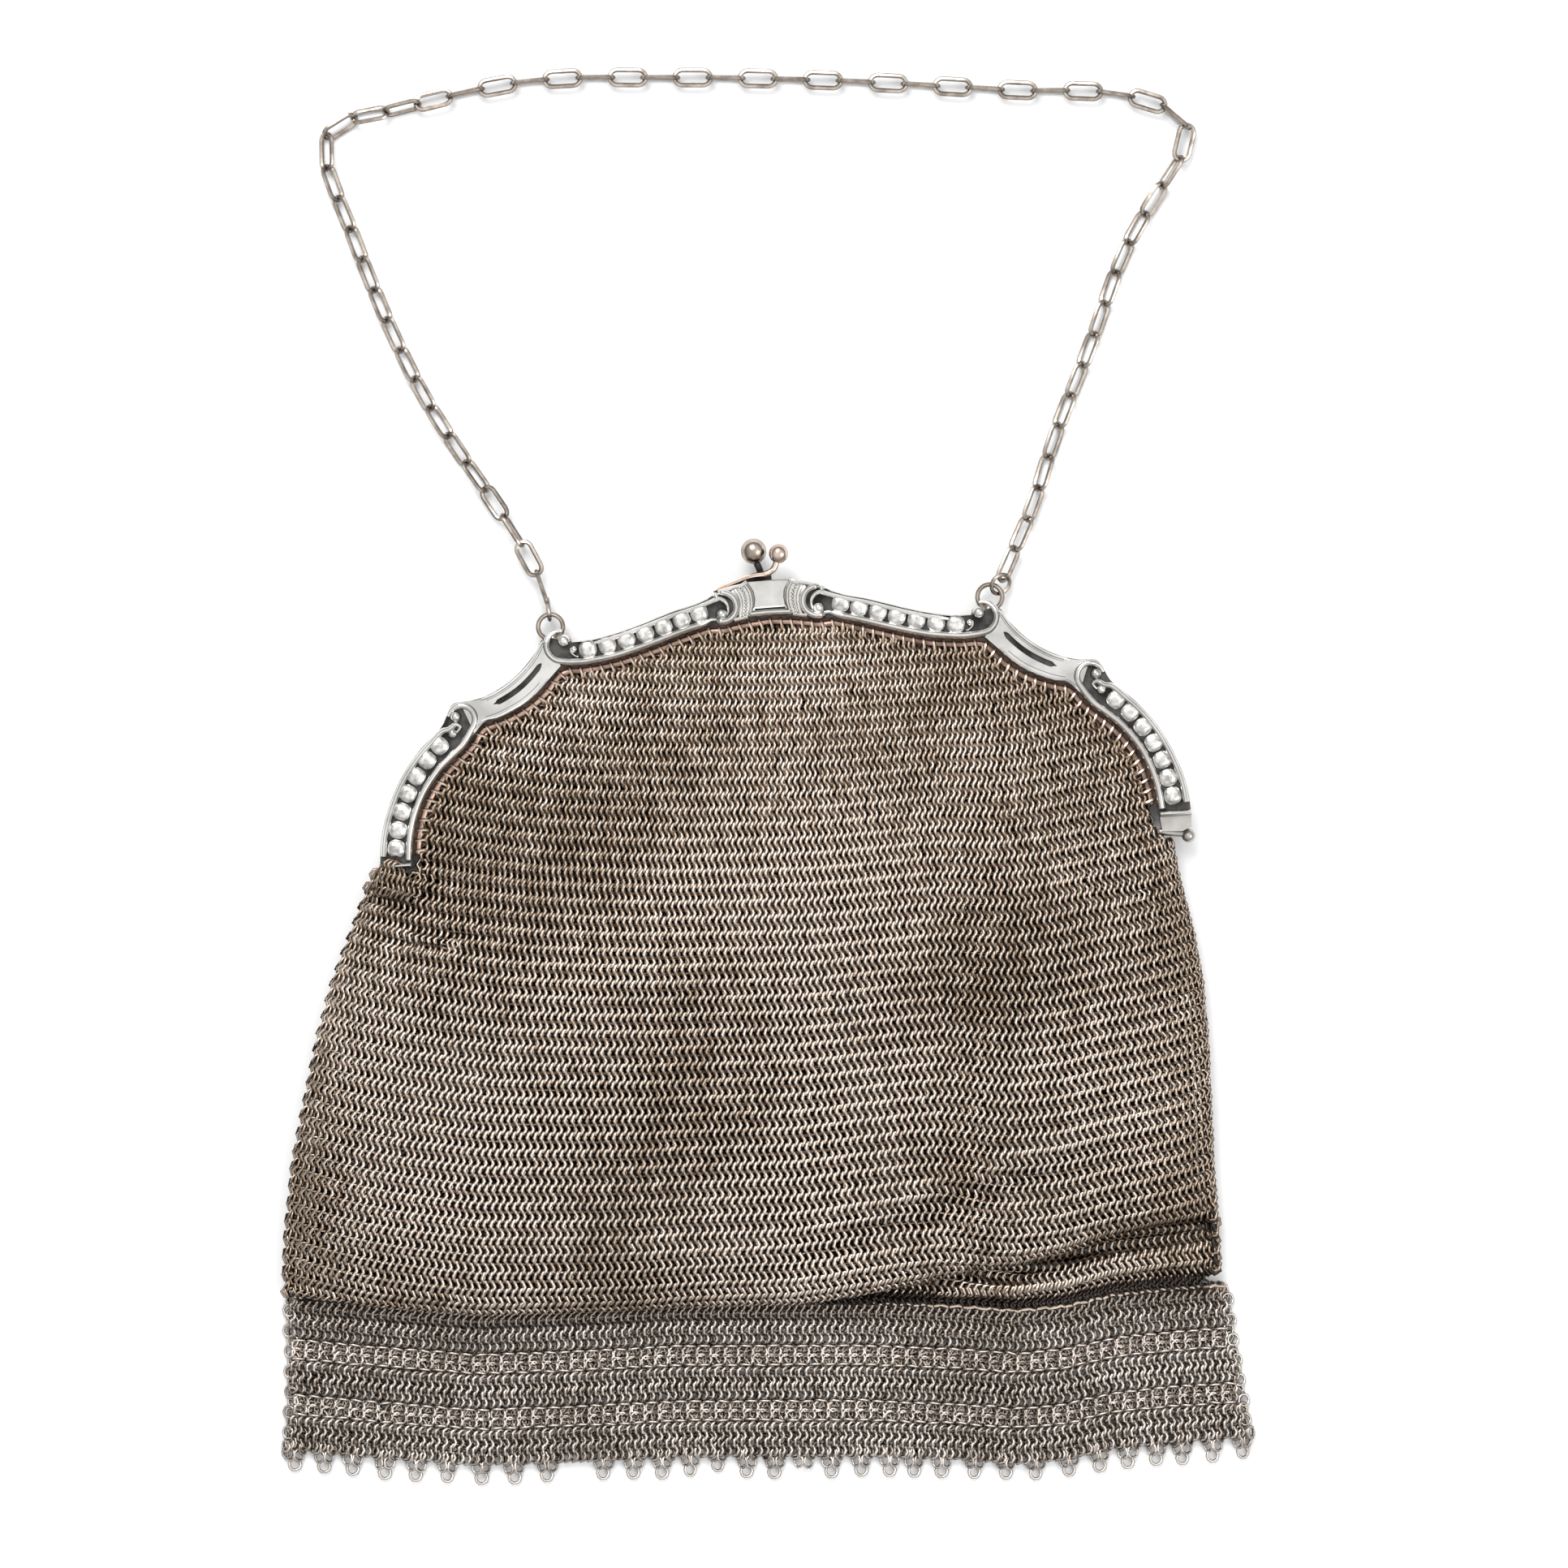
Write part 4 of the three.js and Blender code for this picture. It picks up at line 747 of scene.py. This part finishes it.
# The mouth: the mail sinks towards the frame's inner edge and stops there
mouth_edge = on_purse(inner_line)
flat = surface[..., :2].reshape(-1, 2)
away = np.full(len(flat), 99.0)
for point in mouth_edge[::2]:
    away = np.minimum(away, np.hypot(flat[:, 0] - point[0], flat[:, 1] - point[1]))
away = away.reshape(surface.shape[:2])
frame_y = ((surface[..., 0] - 3.2) * -math.sin(turn) + (surface[..., 1] + 10.5) * math.cos(turn))
frame_x = ((surface[..., 0] - 3.2) * math.cos(turn) + (surface[..., 1] + 10.5) * math.sin(turn))
mouth_x = np.interp(frame_y, inner_half[::-1, 1], inner_half[::-1, 0])
outside = (frame_y > np.where(frame_x < 0, 1.1, -0.9)) & (np.abs(frame_x) > mouth_x)
outside |= (frame_y > -4.4) & (frame_x > 56.9 - np.minimum(frame_y, -1.5))
near = np.where(frame_y > -12, np.clip(away / 20, 0, 1), 1)
near = near * near * (3 - 2 * near)
is_front = np.broadcast_to(column_front, away.shape)
target = np.where(is_front, mouth_z, 1.7)
surface[..., 2] = np.where(is_front,
                           np.minimum(surface[..., 2], target + (surface[..., 2] - target) * near),
                           np.maximum(surface[..., 2], target + (surface[..., 2] - target) * near))

# At the left end the mail lies over the foot of the frame
cover = 9.1 - 0.10 * ((surface[..., 0] + 58.6) ** 2 + (surface[..., 1] + 15.8) ** 2)
surface[..., 2] = np.where(is_front, np.maximum(surface[..., 2], cover), surface[..., 2])

# Soft folds: middle, reach along x and y, direction in degrees, and how far they rise
for fold_x, fold_y, long, wide, angle, height in (
    (-28, -74, 30, 3.0, -3, 0.5), (38, -62, 34, 3.6, 17, 0.7), (30, -68, 30, 2.6, 20, -0.8),
    (-36, 6, 9, 4.0, -60, -0.8), (-22, 4, 10, 4.5, -70, 0.5), (36, 2, 10, 4.5, 70, -0.7),
    (48, -12, 12, 4, 75, 0.5), (-52, -22, 16, 5, 70, 0.5), (4, -28, 30, 9, 5, 0.4),
):
    angle = math.radians(angle)
    dx, dy = surface[..., 0] - fold_x, surface[..., 1] - fold_y
    s = (dx * math.cos(angle) + dy * math.sin(angle)) / long
    t = (dy * math.cos(angle) - dx * math.sin(angle)) / wide
    surface[..., 2] += np.where(is_front, height * np.exp(-s * s - t * t), 0) * near

ring_radius, ring_wire = 0.95, 0.295
side_way = np.roll(surface, -2, axis=1) - np.roll(surface, 2, axis=1)
up_way = np.gradient(surface, axis=0)
out_way = np.cross(side_way, up_way)
out_way /= np.linalg.norm(out_way, axis=2)[..., None]
ring_lean = np.arccos(np.clip(np.linalg.norm(side_way, axis=2) / 2 * 0.71, 0.66, 0.82))
mail_seed = np.random.default_rng(11)
bright_dull_patches = [
    # where the mail is brighter or duller: middle, reach along x and y, and by how much
    (-48, -54, 26, 26, 0.9), (-4, -24, 24, 20, 0.4), (-60, -34, 12, 24, 0.6), (-5, -72, 42, 9, 0.5),
    (6, 2, 22, 16, 0.4), (20, -50, 30, 12, 0.4), (-52, -8, 12, 12, -0.55), (52, -6, 10, 16, -0.8),
    (42, -30, 24, 18, -0.9),
]


def painted_shade_and_patches(x, y, across, gap):
    """How bright the mail is: painted shade along its sides, in a band under the frame at its mouth and
    under the bulge at the fold, and brighter or duller in patches.
    """
    side = np.clip((np.abs(across) - 0.84) / 0.16, 0, 1)
    under_bulge = y - np.interp(x, (40, 44.6, 59.5, 67.9, 74), (-80, -78.2, -72.8, -70.8, -70))
    valley = np.exp(-(under_bulge / 1.8) ** 2) * np.clip((x - 34) / 8, 0, 1)
    # Painted shade under the bulge at the fold, along the sides and near the frame's inner edge.
    shade = -1.5 * valley - 0.8 * side - 1.1 * np.exp(-(gap / 3.2) ** 2)
    for middle_x, middle_y, wide, high, change in bright_dull_patches:
        shade += change * np.exp(-((x - middle_x) / wide) ** 2 - ((y - middle_y) / high) ** 2)
    return shade


wanted = {"mail_front_left": [], "mail_front_middle": [], "mail_front_right": [],
          "mail_back_left": [], "mail_back_right": []}
for row in range(row_count):
    columns = np.arange(row % 2, 2 * column_count, 2)
    keep = ~outside[row, columns] & (away[row, columns] > 1.5)
    keep &= (row > 1) | (np.abs(column_across[columns]) < 0.97)
    for column in columns[keep]:
        if column_front[column]:
            across = column_across[column]
            part = ("mail_front_left" if across < -0.33 else
                    "mail_front_right" if across > 0.33 else "mail_front_middle")
        else:
            part = "mail_back_left" if column_across[column] < 0 else "mail_back_right"
        wanted[part].append((row, column))
# Both paint shade by facing: the front rings darken where they turn away from up, the rings behind where
# they face up into the bag.
mail = silver("mail", (0.82, 0.70, 0.60), (0.40, 0.315, 0.24), 0.30, patch=26, tone=0.22,
              facing_shade=(-0.05, 0.72))
mail_behind = silver("mail_behind", (0.80, 0.69, 0.60), (0.44, 0.35, 0.28), 0.30, patch=26,
                     tone=0.2, facing_shade=(0.2, -0.65))
lowest_middle = 1.15
mail_middle = surface - out_way * ring_radius
mail_middle[..., 2] = np.maximum(mail_middle[..., 2], lowest_middle)
for part, places in wanted.items():
    rows = np.array([p[0] for p in places])
    columns = np.array([p[1] for p in places])
    count = len(places)
    middles = mail_middle[rows, columns] + mail_seed.normal(0, 0.035, (count, 3))
    leans = ring_lean[rows, columns] * np.where(rows % 2 == 0, 1, -1)
    leans += mail_seed.normal(0, 0.07, count)
    # A ring's tone: random, plus the painted shade and the patches.
    tones = mail_seed.normal(0, 0.3, count) + painted_shade_and_patches(
        middles[:, 0], middles[:, 1], column_across[columns], away[rows, columns])
    steps, sides = (6, 3) if "front" in part else (5, 3)
    made = ring_mail(part, middles, side_way[rows, columns], up_way[rows, columns], leans, tones,
                     ring_radius, ring_wire, steps, sides)
    settle(made, mail if "front" in part else mail_behind, "mesh_bag")

# Mouth strip and seam wire
# Under the frame a strip of copper, from which the plating has gone, holds the mail: a wire winds
# round it and through the first row of rings. Another wire joins the fringe to the hem.
# The strip's colour is copper darkened as painted shade under the frame, and its facing shade darkens the
# faces turned away from up.
copper = silver("mouth_strip", (0.50, 0.34, 0.27), (0.22, 0.14, 0.11), 0.3, patch=500,
                facing_shade=(-0.2, 0.65))
# A dark band stands in the gap between the frame and the strip as painted shade.
gap_shade_metal = silver("mouth_gap_shade", (0.16, 0.11, 0.09), (0.07, 0.05, 0.045), 0.5, patch=500)
lacing_metal = silver("lacing", (0.80, 0.68, 0.57), (0.55, 0.44, 0.35), 0.25, patch=300)


def under_frame(distance, z, count):
    """A line along the frame's inner edge, from one end to the other, at a distance under it."""
    half = inset(inner_edge, 0, 70, -distance)
    whole = np.vstack([half[:0:-1] * (-1, 1), half])
    return smooth(np.column_stack([whole, np.full(len(whole), z)]), count)


# The dark band of painted shade under the frame's inner edge.
gap_shade_section = [(-0.8, -0.3), (-0.8, 0.3), (0.8, 0.3), (0.8, -0.3)]
mouth_parts = [on_frame(sweep(under_frame(0.6, 5.0, 200), gap_shade_section), 1),
               on_frame(sweep(under_frame(0.95, 5.75, 260), round_section(0.42, 8)), 0)]
lace_line = under_frame(1.0, 5.75, 1500)
along = np.gradient(lace_line, axis=0)
along /= np.linalg.norm(along, axis=1)[:, None]
across = np.cross(along, (0, 0, 1))
length = np.concatenate([[0], np.cumsum(np.linalg.norm(np.diff(lace_line, axis=0), axis=1))])
phase = 2 * math.pi * length / 1.65
lace_line = (lace_line + along * (0.5 * np.sin(phase + 1.2))[:, None]
             + across * (0.3 + 0.95 * np.cos(phase))[:, None]
             + np.array([0, 0, 1.0]) * (0.66 * np.sin(phase))[:, None])
mouth_parts.append(on_frame(sweep(lace_line, round_section(0.24, 5)), 2))
piece("mouth_lacing", mouth_parts, [copper, gap_shade_metal, lacing_metal], "mesh_bag")

# The seam wire shows at the right, where the bag has slipped up
seam_x = np.linspace(-76.5, 73.6, 240)
seam_z = 2.2 + 0.9 * np.clip((seam_x - 12) / 16, 0, 1)
seam = np.column_stack([seam_x, fringe_line(seam_x) + hem_above - 0.1, seam_z])
seam[:, 1] += 0.12 * np.sin(seam_x * 2.3) + 0.06 * np.sin(seam_x * 5.1)
points, faces = sweep(seam, round_section(0.23, 7))
piece("hem_seam", [(points, faces, 0)], [lacing_metal], "mesh_bag")

# Fringe
# The same mail under the hem, with a layer of rings behind it, whose darker tone is painted
# shade under the front rings. It has two rows of larger openings between lines of rings on edge,
# small points along its foot, and single rings at both sides.
# Its facing shade paints shade on the ring faces that turn away from up.
fringe_mail = silver("fringe", (0.74, 0.665, 0.60), (0.42, 0.36, 0.31), 0.30, patch=40, tone=0.3,
                     facing_shade=(0.0, 0.78))
fringe_seed = np.random.default_rng(5)
fringe_left = np.array([(0, -76.5), (-8, -76.2), (-12, -76.5), (-21, -76.7)])
fringe_right = np.array([(7, 73.7), (0, 74.7), (-9, 76.2), (-13, 76.8), (-21, 77.1)])
rings = {"middle": [], "left": [], "up": [], "lean": [], "kind": [], "tone": []}


def fringe_ring(x, down, z, lean, tip=0.0, kind=0, loose=0.05, tone=0.0):
    """A ring at x, below the first openwork line, leaning about y and tipped about x."""
    slope = (fringe_line(x + 1) - fringe_line(x - 1)) / 2
    y = fringe_line(x) + down
    rings["middle"].append((x + fringe_seed.normal(0, loose), y + fringe_seed.normal(0, loose), z))
    rings["left"].append((1, slope, 0))
    rings["up"].append((-slope * math.cos(tip), math.cos(tip), math.sin(tip)))
    rings["lean"].append(lean + fringe_seed.normal(0, 0.08))
    rings["kind"].append(kind)
    rings["tone"].append(tone + fringe_seed.normal(0, 0.35))


def fringe_sides(down, inside):
    """Where a row of the fringe starts and ends, a little inside its edges."""
    return (np.interp(down, fringe_left[::-1, 0], fringe_left[::-1, 1]) + inside,
            np.interp(down, fringe_right[::-1, 0], fringe_right[::-1, 1]) - inside)


def fringe_row(down, inside, count, odd):
    """Even places along a row; every second row starts half a step later."""
    left, right = fringe_sides(down, inside)
    return left + (np.arange(count) + 0.5 * odd) * (right - left) / (count - 0.5)


fringe_lean = math.radians(40)
mail_rows = [6.5, 5.2, 3.9, 2.6, 1.3, -4.2, -5.4, -6.5, -7.6, -13.0, -14.2, -15.4, -16.6]
for number, down in enumerate(mail_rows):
    for x in fringe_row(down, 0.5, 125, number % 2):
        # Painted shadow: the first rows, under the bulge, are darker; left of x -60 the rings are a
        # little darker too.
        shade = -1.6 if down > 5 else -0.5 if x < -60 else 0
        fringe_ring(x, down, 1.3, fringe_lean * (1 if number % 2 else -1), tone=shade)
# The layer behind: its rings' darker tone is painted shade under the front rings.
for number, down in enumerate(np.arange(6.0, -17.2, -1.5)):
    for x in fringe_row(down, 0.9, 96, number % 2):
        fringe_ring(x, down, 0.68, math.radians(14) * (1 if number % 2 else -1), kind=2, tone=-1.4)
# The rings on edge get a brighter tone, as painted light on their tops.
for down, below in ((0, -2.95), (-8.8, -11.8)):
    left, right = fringe_sides(down, 0.8)
    for x in left + (np.arange(67) + 0.5) * (right - left) / 67:
        for edge, inward in ((down, -1), (below, 1)):
            fringe_ring(x - 0.1, edge, 1.5, 0, tip=math.radians(82), kind=1, tone=1.2)
            fringe_ring(x - 0.42, edge + 0.8 * inward, 1.0, math.radians(24), kind=0, tone=0.2)
            fringe_ring(x + 0.42, edge + 0.85 * inward, 1.2, math.radians(-46), kind=0, tone=0.2)
point_feet = np.array([
    # the lowest ring of each point; the tenth is missing, and one torn to a stub has none
    (-75.4, -110.2), (-70.7, -110.4), (-66.2, -110.9), (-61.0, -111.4), (-56.0, -111.8),
    (-51.0, -111.9), (-45.5, -112.2), (-40.3, -112.2), (-35.0, -111.9),
    (-26.0, -111.5), (-21.2, -111.4), (-16.6, -111.4), (-12.1, -111.0), (-7.7, -110.2),
    (-3.1, -111.2), (1.4, -111.3), (6.0, 0), (10.5, -111.2), (15.2, -111.0), (19.8, -110.9),
    (23.7, -111.2), (28.2, -111.2), (33.4, -111.3), (38.4, -111.5), (43.2, -111.5),
    (48.5, -111.0), (53.4, -110.2), (57.9, -109.7), (62.5, -109.2), (66.6, -109.1),
    (71.5, -108.6), (76.4, -108.0),
])
for x, y in point_feet:
    foot = (y or -111.2) - fringe_line(x)
    if y:
        fringe_ring(x, foot, 0.68, math.radians(12), kind=1, tone=0.6)
    for side in (-1, 1):
        fringe_ring(x + 0.75 * side, foot + 1.6, 1.1, math.radians(42) * side, kind=1)
    for side in (-1, 0, 1):
        fringe_ring(x + 1.3 * side, foot + 2.9, 1.1, math.radians(48) * (side or 1), kind=0)
for number, down in enumerate(np.arange(6.2, -18.5, -1.62)):
    left, right = fringe_sides(down, 0)
    outward = -0.15 if number % 2 else -0.7
    fringe_ring(left - outward, down, 0.95, math.radians(-28), kind=1, tone=0.4)
    fringe_ring(right + outward, down, 0.95, math.radians(28), kind=1, tone=0.4)
rings = {key: np.array(value, float) for key, value in rings.items()}
for name, kind, wire, steps, sides in (
    ("fringe_rings", 0, 0.29, 7, 3), ("fringe_edges", 1, 0.23, 10, 4), ("fringe_behind", 2, 0.3, 5, 3),
):
    chosen = rings["kind"] == kind
    made = ring_mail(name, rings["middle"][chosen], rings["left"][chosen], rings["up"][chosen],
                     rings["lean"][chosen], rings["tone"][chosen], ring_radius,
                     wire, steps, sides)
    settle(made, fringe_mail, "fringe_band")

# Chain
# A cable chain of oval wire links, each turned a quarter on the last. It leaves the rings on the
# frame upwards, lies down on the table and runs along it; jump rings join it to the frame.
# Its facing shade paints dark sides on the links, where they turn away from up.
chain_metal = silver("chain_silver", (0.60, 0.53, 0.46), (0.30, 0.25, 0.21), 0.2, patch=500,
                     facing_shade=(0.1, 0.95))
chain_route = [
    (-36.9, 33.2), (-42.4, 42.3), (-49, 51.8), (-54.6, 60.6), (-59.6, 70.6), (-63.4, 79.6),
    (-67.1, 89.2), (-69.9, 96.3), (-70.9, 101.2), (-68.6, 104.4), (-61, 106.3), (-50, 109),
    (-39.9, 111), (-29.5, 111.8), (-19, 111.8), (-8.8, 111.8), (1.4, 111.6), (11.8, 111.3),
    (22.1, 110.8), (32.6, 110.2), (42.9, 109.7), (53, 109.6), (62.8, 107.6), (67.2, 104.6),
    (67.6, 101.4), (64.5, 96.2), (57.6, 84.5), (51.9, 69), (46.2, 54.4), (42.8, 43.6),
]
jump_radius, jump_wire, link_wire, link_width, link_bite = 1.68, 0.26, 0.31, 3.0, 0.58
jump_drawn, link_drawn = 0.32, 0.39
clearance, lifted_links, link_count = 0.3, 4, 58
jump_reach = jump_radius - jump_wire - clearance


def jump_place(side):
    """Where a jump ring hangs in its ring of the frame, and how it leans."""
    aside, lean, swing = (-8, 0, 0) if side < 0 else (-15, 50, 45)
    ring = np.append(on_purse(np.array((35.19 * side, 36.9))), 2.6)
    bend = np.array(chain_route[0] if side < 0 else chain_route[-1])
    aim = math.atan2(bend[1] - ring[1], bend[0] - ring[0]) + math.radians(aside)
    lean, swing = math.radians(lean), math.radians(swing)
    out = 2.0 + jump_reach - link_wire - clearance * math.sin(lean) * 0.7
    along = np.array((math.cos(aim), math.sin(aim), 0))
    normal = np.array((math.cos(lean) * math.sin(aim), -math.cos(lean) * math.cos(aim), math.sin(lean)))
    rising = np.cross(normal, along)
    middle = ring + along * out
    held = middle + (along * math.cos(swing) + rising * math.sin(swing)) * (jump_reach - link_wire) * 0.75
    return middle, along, rising, held


for side, name in ((-1, "left"), (1, "right")):
    middle, along, rising, held = jump_place(side)
    circle = hoop(middle, jump_radius, along, rising)
    points, faces = sweep(circle, round_section(jump_drawn, 9), up=np.cross(along, rising),
                          closed=True)
    piece("jump_ring_wire_" + name, [(points, faces, 0)], [chain_metal],
          "jump_ring_" + name)


def chain_end(side):
    """Where the chain's first or last link hooks into its jump ring."""
    held = jump_place(side)[3]
    bend = np.array(chain_route[0] if side < 0 else chain_route[-1])
    away_from = bend - held[:2]
    return held + np.append(away_from / np.linalg.norm(away_from) * link_bite / 2, 0)


ends = chain_end(-1), chain_end(1)
dense = smooth([ends[0][:2]] + chain_route + [ends[1][:2]], 4000)


def steps_of(chord):
    """Places along the route at equal straight distances."""
    places, at = [0], 0
    for _ in range(link_count):
        gaps = np.linalg.norm(dense[at:] - dense[at], axis=1)
        ahead = np.argmax(gaps >= chord) if (gaps >= chord).any() else len(gaps) - 1
        at += int(ahead)
        places.append(at)
    return places


low_chord, high_chord = 4.5, 6.0
for _ in range(40):
    chord = (low_chord + high_chord) / 2
    if steps_of(chord)[-1] >= len(dense) - 1:
        high_chord = chord
    else:
        low_chord = chord
places = steps_of(low_chord)
places[-1] = len(dense) - 1


def rest_height(roll):
    """Height of a leaning link's middle when it lies on the table."""
    reach = link_width / 2 - link_wire
    return link_wire + reach * abs(math.sin(roll)) + 0.08


def soft(value, first, last):
    t = min(1.0, max(0.0, (value - first) / (last - first)))
    return t * t * (3 - 2 * t)


def link_lean(share):
    """How the links lie along the chain: on edge and flat by turns at its start and along its
    top, and leaning one way and the other between."""
    top = soft(share, 0.29, 0.36) - soft(share, 0.73, 0.8)
    first = 1 - soft(share, 0.01, 0.1)
    return math.radians(45 + 45 * max(top, first))


chain_bodies = []
link_length = 5.17 + 2 * link_wire + link_bite
bend_radius = link_width / 2 - link_wire
straight = link_length / 2 - link_width / 2
oval = np.vstack([arc(straight, 0, bend_radius, -90, 90, 9), arc(-straight, 0, bend_radius, 90, 270, 9)])
knots = []
for k, place in enumerate(places):
    height = rest_height(link_lean(k / link_count))
    near_left = max(0, 1 - k / lifted_links)
    near_right = max(0, 1 - (link_count - k) / lifted_links)
    height += (ends[0][2] - height) * near_left + (ends[1][2] - height) * near_right
    knots.append((*dense[place], height))
knots = np.array(knots)
for k in range(link_count):
    start, end = knots[k], knots[k + 1]
    roll = link_lean((k + 0.5) / link_count) + math.pi / 2 * (k % 2)
    along = (end - start) / np.linalg.norm(end - start)
    across = np.cross((0, 0, 1), along)
    across /= np.linalg.norm(across)
    up = np.cross(along, across)
    side_way_link = across * math.cos(roll) + up * math.sin(roll)
    middle = (start + end) / 2
    loop = middle + oval[:, :1] * along + oval[:, 1:] * side_way_link
    points, faces = sweep(loop, round_section(link_drawn, 7, flat=0.9),
                          up=np.cross(along, side_way_link), closed=True)
    chain_bodies.append((points, faces, 0))
piece("chain_links", chain_bodies, [chain_metal], "chain")
